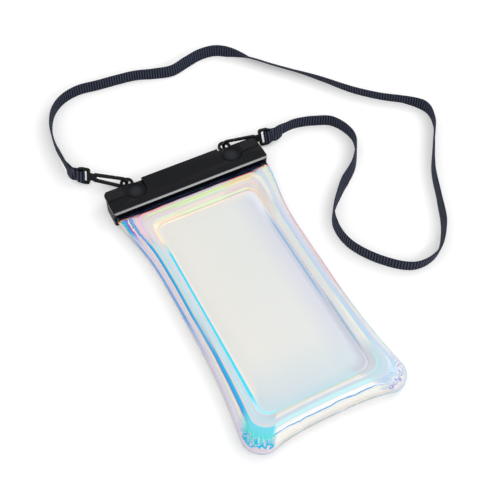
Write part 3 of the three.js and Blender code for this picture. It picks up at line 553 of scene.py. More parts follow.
def film_shader(name, window=False):
    """Clear film with its bands of painted sheen, highlights and shade, from the UV map: U is the
    stretch of the ring, V runs across.
    """
    film = bpy.context.scene.pouch_film
    s = Shader(name)
    place = s.object_coordinates()
    uv = s.uv_axes("Film")
    around, from_edge = uv["X"], uv["Y"]
    loose = s.times(s.near(around, "bottom"), s.fade(from_edge, *OUTER_HALF))
    drift = s.minus(s.noise(place, *DRIFT_NOISE), 0.5)
    across = s.plus(from_edge, s.times(drift, s.range(loose, 0.0, 1.0, *DRIFT_REACH)))
    curl = s.minus(s.noise(place, *CURL_NOISE), 0.5)
    across = s.plus(across, s.times(curl, s.times(crumpled(s, around, from_edge), CURL_REACH)))
    share = s.math("DIVIDE", across, RAMP_REACH)
    bands = (0, 0, 0)
    for stretch in STRETCHES:
        weight = s.near(around, stretch)
        colour = s.ramp(share, [(at / RAMP_REACH, word) for at, word in BANDS[stretch]])
        added = s.node("ShaderNodeVectorMath", {0: colour, 1: weight, 2: bands},
                       operation="MULTIPLY_ADD")
        bands = added.outputs[0]
    # Painted shade on the film in front of the clamp
    bands = clamp_shade(s, place, around, bands)
    hue = s.node("ShaderNodeSeparateColor", {"Color": bands}, mode="HSV")
    strength = s.range(hue.outputs["Green"], *COLOURED)
    if window:
        bands, strength = window_colour(s, place, bands, strength, across)
        cover = s.range(strength, 0.0, 1.0, 1 - film.window_clearness)
    else:
        inner = s.range(from_edge, 0.5 * (1 + INNER_SIDE), INNER_SIDE)
        cover = s.range(strength, 0.0, 1.0, 1 - film.clearness)
        cover = s.times(cover, s.rest(s.times(inner, INNER_CLEARNESS)))
    ripple = s.noise(s.stretched(place, (1.0, 0.35, 1.0)), RIPPLE_SCALE)
    return s.surfaced(
        Base_Color=bands, Roughness=WINDOW_ROUGHNESS if window else film.gloss_roughness, IOR=1.5,
        Alpha=cover, Normal=s.bump(ripple, RIPPLE_STRENGTH, RIPPLE_DEPTH))


def clamp_shade(s, place, around, bands):
    """Painted shade: the dark navy strip of film in front of the clamp, carried on into the top
    corners, where it narrows to the side weld, with a red and orange line along it."""
    axes = s.axes(place)
    out = s.absolute(axes["X"])
    corners = s.near_both(around, "corner")
    strip_width = s.range(out, *STRIP_NARROWS, *STRIP_WIDTHS)
    past = s.minus(s.minus(FRONT_Y, axes["Y"]), strip_width)
    line = s.fade(s.absolute(s.minus(past, LINE_PAST_STRIP)), *LINE_EDGE)
    line_colour = s.mix(s.range(out, *LINE_RED_TO_ORANGE), "red", "orange")
    bands = s.mix(s.times(line, corners), bands, line_colour)
    in_corners = s.times(s.fade(past, *STRIP_EDGE), corners)
    at_top = s.times(s.fade(past, *STRIP_EDGE_AT_TOP), s.near_both(around, "top"))
    # Navy painted shade over the strip, in the top corners and along the top
    return s.mix(s.plus(in_corners, at_top, clamp=True), bands, "navy")


def window_colour(s, place, bands, strength, across):
    """Frosted window: warm to the left, lavender to the right, blue grey to the bottom."""
    axes = s.axes(place)
    low, high = WINDOW_LOW, WINDOW_HIGH
    tint = bpy.context.scene.pouch_film.window_tint
    for axis, start, end, word in (("X", high.x * 0.3, low.x, "left"),
                                   ("X", high.x * 0.35, high.x, "right"),
                                   ("Y", low.y * 0.55, low.y, "bottom")):
        tint = s.mix(s.range(axes[axis], start, end), tint, f"window_{word}")
    clouds = s.noise(s.stretched(place, (1.0, 0.4, 1.0)), CLOUD_SCALE, 1.0)
    tint = s.mix(s.times(clouds, CLOUD_SHARE), tint, "white")
    inside = s.range(across, *WINDOW_FRAME)
    return s.mix(inside, bands, tint), s.times(strength, s.rest(inside))


def crumpled(s, around, from_edge):
    """1 where the film gathers: outside the crest at the ears and the left top corner."""
    corner = s.times(s.near(around, "corner_left"), CORNER_GATHER)
    zone = s.plus(s.near_both(around, "ear"), corner)
    return s.times(s.times(zone, s.fade(from_edge, *OUTER_HALF)), s.range(from_edge, *GATHERED))


# Plastic: the polish of the bevel, and the painted light and shade of a lever's disc by distance
# from its axis
GRAIN_SCALE, GRAIN_DEPTH = 2600.0, 0.05 * MM
BLOOM_SCALE, BLOOM_SHARE = 60.0, 0.3
POLISH_ROUGHNESS = 0.12
POLISH_EDGE = (0.16 * MM, 0.34 * MM)
# Painted light in the dish, and painted shade in the ring round it
DISH_FADE = (1.5 * MM, 5.2 * MM)
RING_FADE = (0.3 * MM, 1.1 * MM)
RING_DARKNESS = 0.85


def plastic_shader(name, colour, roughness, grain, level=0.13, bevelled=False, dished=False):
    """Black moulded plastic with a fine spark-eroded grain. Bevelled gives the clamp its polished
    front bevel, dished gives the levers' discs painted light in the dish and painted shade round
    it."""
    s = Shader(name)
    place = s.object_coordinates()
    fine = s.noise(place, GRAIN_SCALE, 3.0)
    tone = s.mix(s.times(s.noise(place, BLOOM_SCALE), BLOOM_SHARE), colour, "plastic_bloom")
    rough = s.range(fine, 0.3, 0.7, roughness - 0.05, roughness + 0.07)
    if dished:
        tone = painted_dish_light(s, s.axes(place), tone)
    if bevelled:
        bevel = on_bevel(s, s.axes(place))
        rough = s.between(bevel, rough, POLISH_ROUGHNESS)
        level = s.range(bevel, 0.0, 1.0, level)
    return s.surfaced(Base_Color=tone, Roughness=rough, Normal=s.bump(fine, grain, GRAIN_DEPTH),
                      Specular_IOR_Level=level)


def painted_dish_light(s, axes, tone):
    """A lever's disc: painted light, paler in the dish, and painted shade, dark in the ring round
    it.
    """
    pivot = LEVER_JOINTS["right_lever"]
    off_x, off_y = s.minus(s.absolute(axes["X"]), pivot[0]), s.minus(axes["Y"], pivot[1])
    radius = s.math("SQRT", s.plus(s.times(off_x, off_x), s.times(off_y, off_y)))
    # Painted light: paler in the dish
    tone = s.mix(s.fade(radius, *DISH_FADE), tone, "rubbed")
    # Painted shade: dark in the groove ring round the dish
    from_ring = s.absolute(s.minus(radius, DISH_RADIUS))
    return s.mix(s.fade(from_ring, *RING_FADE, start=RING_DARKNESS), tone, "dark_ring")


def on_bevel(s, axes):
    """1 on the bevel along the clamp's front edge, fading out towards the bevel's upper edge."""
    slant = s.minus(axes["Y"], axes["Z"])
    off = s.absolute(s.minus(slant, FRONT_Y - BAR_TOP + BAR_BEVEL))
    below = s.fade(axes["Z"], BAR_TOP - 0.5 * BAR_BEVEL, BAR_TOP - 0.2 * BAR_BEVEL)
    return s.times(s.fade(off, *POLISH_EDGE), below)


def rubber_shader():
    """Grey silicone of the seal strips."""
    s = Shader("seal_rubber")
    place = s.object_coordinates()
    tone = s.mix(s.noise(place, 300.0), "rubber_dark", "rubber")
    normal = s.bump(s.noise(place, 900.0), 0.2, 0.1 * MM)
    return s.surfaced(Base_Color=tone, Roughness=0.75, Normal=normal)


def webbing_shader():
    """Charcoal webbing: fine threads along it, with a painted highlight on the ribs and painted
    shade between them.
    """
    strap = bpy.context.scene.pouch_strap
    s = Shader("webbing_weave")
    uv = s.uv_axes("Strap")
    turns = s.times(uv["X"], 2 * math.pi / strap.rib_pitch)
    rib = s.range(s.math("COSINE", turns), -0.3, 0.5)
    threads = s.math("SINE", s.times(uv["Y"], 2 * math.pi / WARP_PITCH))
    warp = s.math("MULTIPLY_ADD", threads, 0.5, 0.5)
    fuzz = s.noise(s.object_coordinates(), 1800.0, 3.0)
    # Painted shade in the gaps between the ribs
    tone = s.mix(rib, "rib_gap", strap.colour)
    # Painted highlight on the threads of the ribs
    tone = s.mix(s.times(s.times(rib, warp), 0.6), tone, "warp")
    tone = s.mix(s.times(s.times(fuzz, rib), 0.15), tone, "fuzz")
    height = s.plus(s.times(rib, 0.6), s.times(warp, 0.4))
    return s.surfaced(Base_Color=tone, Roughness=0.7, Normal=s.bump(height, 0.6, 0.12 * MM),
                      Specular_IOR_Level=0.15)


def thread_shader():
    """Black sewing thread."""
    s = Shader("sewing_thread")
    tone = s.mix(s.noise(s.object_coordinates(), 2500.0), "thread_dark", "thread")
    return s.surfaced(Base_Color=tone, Roughness=0.6, Sheen_Weight=0.2)


# Meshes
def new_object(name, data):
    made = bpy.data.objects.new(name, data)
    bpy.context.scene.collection.objects.link(made)
    return made


def new_piece(name, mesh, material, body, replaced=()):
    """An object for a finished mesh that rides on a body and stands for CAD nodes."""
    piece = new_object(name, mesh)
    painted(mesh, material)
    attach(piece, body)
    if replaced:
        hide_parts(*replaced)
    return piece


def painted(mesh, material):
    mesh.materials.clear()
    mesh.materials.append(material)


def smoothed(mesh):
    mesh.polygons.foreach_set("use_smooth", [True] * len(mesh.polygons))
    return mesh


def closed(mesh, fill=False):
    """Turns a mesh's faces outwards. With fill, it first merges what coincides and fills holes."""
    shape = bmesh.new()
    shape.from_mesh(mesh)
    if fill:
        bmesh.ops.remove_doubles(shape, verts=shape.verts, dist=0.001 * MM)
        edges = [edge for edge in shape.edges if edge.is_boundary]
        bmesh.ops.holes_fill(shape, edges=edges, sides=0)
    bmesh.ops.recalc_face_normals(shape, faces=shape.faces)
    shape.to_mesh(mesh)
    shape.free()
    return mesh


def unit(vectors):
    return vectors / np.maximum(np.linalg.norm(vectors, axis=-1, keepdims=True), 1e-12)


def run_along(line):
    """Distance along a line at each of its points."""
    return np.concatenate([[0], np.cumsum(np.linalg.norm(np.diff(line, axis=0), axis=1))])


def grid_mesh(name, points, uv_name, uvs, closed_rows=True, closed_columns=True):
    """A mesh from a grid of points, rows by columns, with one UV for each corner.
    A closed grid joins its last row or column to its first; uvs has one more of each."""
    rows, columns = points.shape[:2]
    r = np.arange(rows if closed_rows else rows - 1)
    c = np.arange(columns if closed_columns else columns - 1)
    rr, cc = np.meshgrid(r, c, indexing="ij")
    steps = [(0, 0), (0, 1), (1, 1), (1, 0)]
    corners = np.stack([((rr + a) % rows) * columns + (cc + b) % columns for a, b in steps], -1)
    mesh = bpy.data.meshes.new(name)
    mesh.from_pydata(points.reshape(-1, 3).tolist(), [], corners.reshape(-1, 4).tolist())
    layer = mesh.uv_layers.new(name=uv_name)
    values = np.stack([uvs[rr + a, cc + b] for a, b in steps], -2)
    layer.data.foreach_set("uv", values.reshape(-1).astype(np.float32))
    smoothed(mesh).update()
    return mesh


# Film
def side_half_width(below):
    """Half width of the pouch at a distance below the clamp's front edge."""
    flare = MOUTH_FLARE * np.exp(-((below / FLARE_LENGTH) ** 2))
    ear = np.clip((below - EAR_FLARE_START) / (EAR_START - EAR_FLARE_START), 0, None)
    return WAIST_HALF_WIDTH + flare + EAR_FLARE * ear**2


def bottom_below(x):
    """Distance of the bottom edge below the clamp's front edge."""
    return BOTTOM_EDGE + EAR_DROP * (np.abs(x) / EAR_HALF_GAP) ** 3


def half_ring():
    """Stations from the bottom middle to the top middle on the right: window seam points, outer
    edge points, leg position and share of the mouth's lower crest."""
    straight = WINDOW_HALF_WIDTH - WINDOW_CORNER
    low, high = WINDOW_BOTTOM - WINDOW_CORNER, WINDOW_TOP + WINDOW_CORNER
    side_top = WELD_WIDTH + CLEARANCE
    legs = []

    def leg(number, seam, edge, crest, end=False):
        t = np.linspace(0, 1, STATIONS[number], endpoint=end)
        columns = [*seam(t), *edge(t), number + t, crest(t) + 0 * t]
        legs.append(np.stack([column + 0 * t for column in columns], 1))

    leg(0, lambda t: (t * straight, WINDOW_BOTTOM),
        lambda t: (t * EAR_HALF_GAP, bottom_below(t * EAR_HALF_GAP)), lambda t: 0)
    ear_width = side_half_width(EAR_START) - EAR_HALF_GAP
    ear_height = bottom_below(EAR_HALF_GAP) - EAR_START
    quarter = math.pi / 2
    leg(1, lambda t: (straight + WINDOW_CORNER * np.sin(t * quarter),
                      low + WINDOW_CORNER * np.cos(t * quarter)),
        lambda t: (EAR_HALF_GAP + ear_width * np.sin(t * quarter),
                   EAR_START + ear_height * np.cos(t * quarter)), lambda t: 0)
    leg(2, lambda t: (WINDOW_HALF_WIDTH, low + (high - low) * t),
        lambda t: (side_half_width(EAR_START + (side_top - EAR_START) * t),
                   EAR_START + (side_top - EAR_START) * t),
        lambda t: 0.5 * smooth_step(t, *CREST_FALLS))
    corner_x = side_half_width(side_top)
    leg(3, lambda t: (straight + WINDOW_CORNER * np.cos(t * quarter),
                      high - WINDOW_CORNER * np.sin(t * quarter)),
        lambda t: (corner_x + (MOUTH_HALF_WIDTH - corner_x) * t,
                   side_top - (MOUTH_REACH + side_top) * t),
        lambda t: 0.5 + 0.5 * t)
    leg(4, lambda t: ((1 - t) * straight, WINDOW_TOP),
        lambda t: ((1 - t) * MOUTH_HALF_WIDTH, -MOUTH_REACH), lambda t: 1, end=True)
    return np.concatenate(legs)


def stretch_numbers(legs, turns, bottom):
    """The stretch at each leg position. The bottom's own number differs at the ring's two ends."""
    numbers = [STRETCHES.index(name) or bottom for _, name in turns]
    return np.interp(legs, [at for at, _ in turns], numbers)


def full_ring():
    """The whole ring: seam points, edge points, stretch number at each station and one more, crest
    share, and leg position."""
    right = half_ring()
    left = right[1:-1][::-1].copy()
    left[:, [0, 2]] *= -1
    ring = np.concatenate([right, left])
    last = len(STRETCHES)
    stretch = np.concatenate([stretch_numbers(right[:, 4], RIGHT_TURNS, 0),
                              stretch_numbers(left[:, 4], LEFT_TURNS, last), [last]])
    return {"seam": ring[:, 0:2], "edge": ring[:, 2:4], "leg": ring[:, 4], "crest": ring[:, 5],
            "stretch": stretch}


def chart(ring, across):
    """UVs of rows round the ring, from each row's places across the film."""
    across = np.concatenate([across, across[:, :1]], axis=1)
    return np.stack([np.tile(ring["stretch"], (len(across), 1)), across], -1)


def lifted(plan, height):
    """Points of the plan at a height above the pouch's middle plane."""
    return np.stack([plan[:, 0], FRONT_Y - plan[:, 1], MIDDLE_Z + height + 0 * plan[:, 0]], 1)


def weld_points(seam, edge):
    """Where the air ends: just inside the outer edge, or just in front of the clamp."""
    share = 1 - WELD_WIDTH / np.linalg.norm(edge - seam, axis=1)
    clamped = edge[:, 1] < WELD_WIDTH
    at_mouth = (seam[:, 1] - WELD_WIDTH) / np.where(clamped, seam[:, 1] - edge[:, 1], 1)
    share = np.where(clamped, np.minimum(share, at_mouth), share)
    return seam + (edge - seam) * share[:, None]


def gathers(ring, share, film):
    """Height of the film's wrinkles: radial pleats at the ears and top corners, and slow waves.
    The pleats' shares and phases only keep them from looking regular."""
    edge, leg = ring["edge"], ring["leg"]
    arc = run_along(np.vstack([edge, edge[:1]]))[:-1]
    ears = smooth_step(leg, 0.84, 1.06) * (1 - smooth_step(leg, 1.95, 2.12))
    corners = smooth_step(leg, 2.86, 2.96) * (1 - smooth_step(leg, 3.0, 3.5))
    zone = ears + 0.8 * corners
    phase = arc * 2 * math.pi / film.wrinkle_spacing
    wander = 1.4 * np.sin(phase * 0.23 + 1.0) + 0.9 * np.sin(phase * 0.41)
    turn = share[:, None]
    bent = phase / 2 + wander + 1.5 * np.sin(9 * turn + phase * 0.37)
    pleat = 1 - 2 * np.abs(np.sin(bent)) ** 0.8
    fine = np.sin(phase * 1.7 + 2 * wander + 17 * turn)
    rise = smooth_step(share, 0.0, 0.08) * (1 - smooth_step(share, 0.2, 0.5))
    waves = sum(height * np.sin(arc * 2 * math.pi / length + start)
                for height, length, start in SLOW_WAVES)
    slow = smooth_step(share, 0.0, 0.2) * (1 - smooth_step(share, 0.75, 1.0))
    return (film.wrinkle_depth * rise[:, None] * zone * (0.7 * pleat + 0.3 * fine)
            + np.outer(slow, waves * (1 - 0.5 * zone)))


def cushion_rows(film):
    """Rows of points round the ring: under the edge, over the skin to the seam, back along the
    pocket's wall. Columns are the ring's stations."""
    ring = full_ring()
    seam, edge = ring["seam"], ring["edge"]
    weld = weld_points(seam, edge)
    flat_bottom, flat_top = CLEARANCE / 2, CLEARANCE / 2 + FILM_THICKNESS
    seam_top = POCKET_HALF_GAP + SEAM_RISE
    peak = CREST + (CREST_AT_MOUTH - CREST) * ring["crest"]
    share = (1 - np.cos(np.linspace(0, math.pi, SKIN_ROWS))) / 2
    skin = []
    for s in share:
        height = flat_top + (seam_top - flat_top) * s
        roundness = SKIN_ROUNDNESS + INNER_SLOPE * smooth_step(s, 0.5, 1)
        if 0 < s < 1:
            height = height + ((peak - (flat_top + seam_top) / 2)
                               * max(math.sin(math.pi * s), 0) ** roundness)
        skin.append(lifted(weld + (seam - weld) * s, height))
    skin = np.array(skin)
    along = np.roll(skin, -1, 1) - np.roll(skin, 1, 1)
    normal = unit(np.cross(along, np.gradient(skin, axis=0)))
    normal *= np.sign(normal[SKIN_ROWS // 2, :, 2].mean())
    skin = skin + normal * gathers(ring, share, film)[:, :, None]
    skin[:, :, 2] = np.clip(skin[:, :, 2], MIDDLE_Z + flat_top, BAR_TOP)
    below_edge, above_edge = lifted(edge, flat_bottom), lifted(edge, flat_top)
    wall = [lifted(seam, POCKET_HALF_GAP),
            lifted(weld + (seam - weld) * WALL_FOOT, POCKET_HALF_GAP), lifted(weld, flat_bottom)]
    steps = np.linalg.norm(np.diff(np.array([above_edge, *skin]), axis=0), axis=2)
    across = np.cumsum(np.concatenate([0 * steps[:1], steps]), axis=0)
    across /= across[-1]
    inner = np.full((len(wall), len(edge)), INNER_SIDE)
    under = np.full((1, len(edge)), UNDER_EDGE)
    across = np.concatenate([0 * steps[:1], across, inner, under])
    return np.array([below_edge, above_edge, *skin, *wall]), chart(ring, across)


def turned_over(points):
    """The back half: the front one turned half round the pouch's long axis."""
    return points * [-1, 1, -1] + [0, 0, 2 * MIDDLE_Z]


def window_rows():
    """Rings of the window panel from its rim inwards to its middle line, on the front side."""
    ring = full_ring()
    seam = ring["seam"]
    ends = WINDOW_TOP + WINDOW_HALF_WIDTH, WINDOW_BOTTOM - WINDOW_HALF_WIDTH
    core = np.stack([0 * seam[:, 0], np.clip(seam[:, 1], *ends)], 1)
    rim = -0.9 * CLEARANCE
    insets = np.concatenate([[rim], np.linspace(rim, RIM_REACH, RIM_ROWS),
                             np.linspace(PANEL_START, WINDOW_HALF_WIDTH - CLEARANCE, PANEL_ROWS)])
    rows = []
    for index, inset in enumerate(insets):
        plan = seam + (core - seam) * (inset + CLEARANCE) / WINDOW_HALF_WIDTH
        dome = DOME_HEIGHT * smooth_step(inset, 0, DOME_REACH)
        groove = GROOVE_DEPTH * smooth_step(inset, *GROOVE)
        wave = np.sin(plan[:, 1] / (13 * MM) + 1.3 * np.sin(plan[:, 0] / (20 * MM)))
        wave = PANEL_WAVE * wave * smooth_step(inset, *WAVE_START)
        height = PANEL_THICKNESS + dome - groove + wave if index else 0
        rows.append(lifted(plan, POCKET_HALF_GAP + height))
    across = np.repeat(1 + insets[:, None] / INSET_UNIT, len(seam), axis=1)
    return np.array(rows), chart(ring, across)


def both_sides(points):
    return ("front", points), ("back", turned_over(points))


class POUCH_OT_film(bpy.types.Operator):
    """Builds the front and back halves of the inflated film cushion"""

    bl_idname = "pouch.film"
    bl_label = "Inflated film"

    def execute(self, context):
        points, uvs = cushion_rows(context.scene.pouch_film)
        material = film_shader("rainbow_film")
        for word, placed in both_sides(points):
            name = f"{word}_inflated_film"
            mesh = closed(grid_mesh(name, placed, "Film", uvs))
            piece = new_piece(name, mesh, material, "pouch", [f"{word}_cushion"])
        return {"FINISHED"}


class POUCH_OT_windows(bpy.types.Operator):
    """Builds the two frosted window panels"""

    bl_idname = "pouch.windows"
    bl_label = "Windows"

    def execute(self, context):
        points, uvs = window_rows()
        material = film_shader("frosted_window", window=True)
        for word, placed in both_sides(points):
            name = f"{word}_window_panel"
            mesh = closed(grid_mesh(name, placed, "Film", uvs, closed_rows=False), fill=True)
            new_piece(name, mesh, material, "pouch", [f"{word}_window"])
        return {"FINISHED"}


# Moulded parts
def softened(node, name, radius, segments):
    """A merged copy of a CAD node's mesh with its sharp edges rounded."""
    shape = bmesh.new()
    shape.from_mesh(frame["nodes"][node].data)
    bmesh.ops.remove_doubles(shape, verts=shape.verts, dist=0.002 * MM)
    bmesh.ops.dissolve_limit(shape, angle_limit=math.radians(1.0), verts=shape.verts,
                             edges=shape.edges, delimit=set())
    mesh = bpy.data.meshes.new(name)
    shape.to_mesh(mesh)
    shape.free()
    smoothed(mesh).set_sharp_from_angle(angle=SHARP_ANGLE)
    holder = new_object(name + "_blank", mesh)
    bevel = holder.modifiers.new("edges", "BEVEL")
    bevel.width, bevel.segments = radius, segments
    bevel.limit_method, bevel.angle_limit = "ANGLE", SHARP_ANGLE
    bevel.use_clamp_overlap = bevel.harden_normals = True
    bevel.miter_outer = "MITER_ARC"
    return baked(holder, name)


def baked(holder, name):
    """The evaluated mesh of an object that is then removed."""
    bpy.context.view_layer.update()
    graph = bpy.context.evaluated_depsgraph_get()
    mesh = bpy.data.meshes.new_from_object(holder.evaluated_get(graph), depsgraph=graph)
    mesh.name = name
    bpy.data.objects.remove(holder)
    return mesh


class POUCH_OT_clamp(bpy.types.Operator):
    """Builds the clamp's two moulded bars"""

    bl_idname = "pouch.clamp"
    bl_label = "Clamp bars"

    def execute(self, context):
        clamp = context.scene.pouch_clamp
        material = plastic_shader("clamp_black", clamp.plastic_colour, roughness=0.32, grain=0.12,
                                  bevelled=True)
        for word in ("front", "back"):
            name = f"{word}_clamp_moulding"
            mesh = softened(f"{word}_clamp_bar", name, clamp.edge_radius, 2)
            new_piece(name, mesh, material, "pouch", [f"{word}_clamp_bar"])
        return {"FINISHED"}


GRID_INPUTS = ("Size X", "Size Y", "Vertices X", "Vertices Y")
BALL_INPUTS = ("Segments", "Rings", "Radius")


def scatter_tree(name):
    """A Geometry Nodes group that puts a ball on each point of a grid, realized and with its
    material. Its inputs are the grid's, the ball's, the ball's scale and the material."""
    tree = bpy.data.node_groups.new(name, "GeometryNodeTree")
    given = dict.fromkeys((*GRID_INPUTS, *BALL_INPUTS), "Int")
    given |= dict.fromkeys(("Size X", "Size Y", "Radius"), "Float")
    given |= {"Item Scale": "Vector", "Material": "Material"}
    tree.interface.new_socket("Geometry", in_out="OUTPUT", socket_type="NodeSocketGeometry")
    for label, kind in given.items():
        tree.interface.new_socket(label, in_out="INPUT", socket_type=f"NodeSocket{kind}")

    def node(kind, inputs=()):
        made = tree.nodes.new(kind)
        for label, source in dict(inputs).items():
            tree.links.new(source, made.inputs[label])
        return made.outputs

    inputs = node("NodeGroupInput")
    grid = node("GeometryNodeMeshGrid", {label: inputs[label] for label in GRID_INPUTS})
    ball = node("GeometryNodeMeshUVSphere", {label: inputs[label] for label in BALL_INPUTS})
    copies = node("GeometryNodeInstanceOnPoints", {
        "Points": grid["Mesh"], "Instance": ball["Mesh"], "Scale": inputs["Item Scale"]})
    real = node("GeometryNodeRealizeInstances", {"Geometry": copies["Instances"]})
    paint = node("GeometryNodeSetMaterial", {
        "Geometry": real["Geometry"], "Material": inputs["Material"]})
    node("NodeGroupOutput", {"Geometry": paint["Geometry"]})
    return tree


def scattered(tree, name, values):
    """Runs a node group on an empty mesh with the given inputs, and returns the plain mesh."""
    holder = new_object(name + "_blank", bpy.data.meshes.new(name + "_blank"))
    modifier = holder.modifiers.new("scatter", "NODES")
    modifier.node_group = tree
    identifiers = {item.name: item.identifier for item in tree.interface.items_tree
                   if item.item_type == "SOCKET" and item.in_out == "INPUT"}
    for label, value in values.items():
        modifier[identifiers[label]] = value
    return smoothed(baked(holder, name))


class POUCH_OT_levers(bpy.types.Operator):
    """Builds the two quarter-turn levers with the grip pips on their tabs"""

    bl_idname = "pouch.levers"
    bl_label = "Levers"

    def execute(self, context):
        clamp = context.scene.pouch_clamp
        material = plastic_shader("lever_black", clamp.plastic_colour, roughness=0.34, grain=0.15,
                                  dished=True)
        pip_material = plastic_shader("pip_black", clamp.plastic_colour, roughness=0.3,
                                      grain=0.05, level=0.6)
        tree = scatter_tree("grip_pips")
        size_x, size_y = ((count - 1) * clamp.pip_spacing for count in (PIP_COLUMNS, PIP_ROWS))
        for word, side in (("left", -1), ("right", 1)):
            name = f"lever_{word}_moulding"
            body = f"{word}_lever"
            mesh = softened(f"lever_{word}", name, clamp.edge_radius, 2)
            new_piece(name, mesh, material, body, [f"lever_{word}"])
            low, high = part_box(f"lever_{word}")
            pips = scattered(tree, f"lever_{word}_pips", {
                "Size X": size_x, "Size Y": size_y, "Vertices X": PIP_COLUMNS,
                "Vertices Y": PIP_ROWS, "Segments": 10, "Rings": 6, "Radius": clamp.pip_radius,
                "Item Scale": (1.0, 1.0, PIP_FLATNESS), "Material": pip_material,
            })
            outer = high.x if side > 0 else low.x
            centre = Vector((outer - side * (PIPS_FROM_END + size_x / 2),
                             LEVER_JOINTS[body][1] + PIPS_BEHIND_AXIS, high.z))
            pips.transform(Matrix.Translation(centre))
            new_piece(f"lever_{word}_pips", pips, pip_material, body)
            painted(frame["nodes"][f"cam_{word}"].data, material)
        return {"FINISHED"}


class POUCH_OT_seals(bpy.types.Operator):
    """Gives the seal strips inside the clamp their rubber"""

    bl_idname = "pouch.seals"
    bl_label = "Seal strips"

    def execute(self, context):
        material = rubber_shader()
        for node in ("front_seal_strip", "back_seal_strip"):
            painted(frame["nodes"][node].data, material)
        return {"FINISHED"}


class POUCH_OT_hooks(bpy.types.Operator):
    """Builds the two moulded hooks"""

    bl_idname = "pouch.hooks"
    bl_label = "Hooks"

    def execute(self, context):
        clamp = context.scene.pouch_clamp
        material = plastic_shader("hook_black", clamp.hook_colour, roughness=0.32, grain=0.1)
        for word in HOOKS:
            name = f"hook_{word}_moulding"
            mesh = softened(f"hook_{word}", name, clamp.hook_edge_radius, 3)
            new_piece(name, mesh, material, "pouch", [f"hook_{word}"])
        return {"FINISHED"}


# Strap
def hook_matrix(word):
    """Places a hook's own frame: X from the lug to the strap, Z through its thickness."""
    hook = HOOKS[word]
    heading = Euler((0, 0, math.radians(hook["yaw"]))).to_matrix().to_4x4()
    pitch = Matrix.Rotation(-math.radians(HOOK_PITCH), 4, "Y")
    lean = Matrix.Rotation(math.radians(90 + hook["lean"]), 4, "X")
    return Matrix.Translation(hook["place"]) @ heading @ pitch @ lean


def even_curve(points, count):
    """Evenly spaced samples of a centripetal curve through the points, and its length."""
    points = np.array(points, float)
    padded = np.vstack([2 * points[0] - points[1], points, 2 * points[-1] - points[-2]])
    pieces = []
    for p0, p1, p2, p3 in zip(padded, padded[1:], padded[2:], padded[3:]):
        d0, d1, d2 = (max(np.linalg.norm(b - a) ** 0.5, 1e-6)
                      for a, b in ((p0, p1), (p1, p2), (p2, p3)))
        t1 = ((p1 - p0) / d0 - (p2 - p0) / (d0 + d1) + (p2 - p1) / d1) * d1
        t2 = ((p2 - p1) / d1 - (p3 - p1) / (d1 + d2) + (p3 - p2) / d2) * d1
        t = np.linspace(0, 1, 60, endpoint=False)[:, None]
        pieces.append((2 * t**3 - 3 * t**2 + 1) * p1 + (t**3 - 2 * t**2 + t) * t1
                      + (-2 * t**3 + 3 * t**2) * p2 + (t**3 - t**2) * t2)
    line = np.vstack([*pieces, points[-1:]])
    arc = run_along(line)
    even = np.linspace(0, arc[-1], count)
    return np.stack([np.interp(even, arc, line[:, i]) for i in range(3)], 1), arc[-1]


def ribbon_mesh(name, line, across, strap, start=0.0):
    """Ribbed webbing along a line. Across gives the direction of its width at each sample, and
    start is how far along the whole webbing the line begins."""
    run = start + run_along(line)
    tangent = unit(np.gradient(line, axis=0))
    across = unit(across - tangent * (across * tangent).sum(1, keepdims=True))
    face = np.cross(tangent, across)
    half = strap.thickness / 2
    rib = 0.5 + 0.5 * np.cos(2 * math.pi * run / strap.rib_pitch)
    w = STRAP_WIDTH / 2
    under = [(place, -height) for place, height in STRAP_SECTION[::-1]]
    rows, uvs = [], []
    for place, height in [(-1, 0), *STRAP_SECTION, (1, 0), *under]:
        depth = height * (half - strap.rib_depth * (1 - rib))
        edge = place * (w - 0.25 * strap.rib_depth * (1 - rib))
        rows.append(line + across * edge[:, None] + face * depth[:, None])
        uvs.append(np.stack([run, np.full(len(run), place * w)], 1))
    uvs.append(uvs[0])
    mesh = grid_mesh(name, np.array(rows), "Strap", np.array(uvs), closed_columns=False)
    return closed(mesh, fill=True)


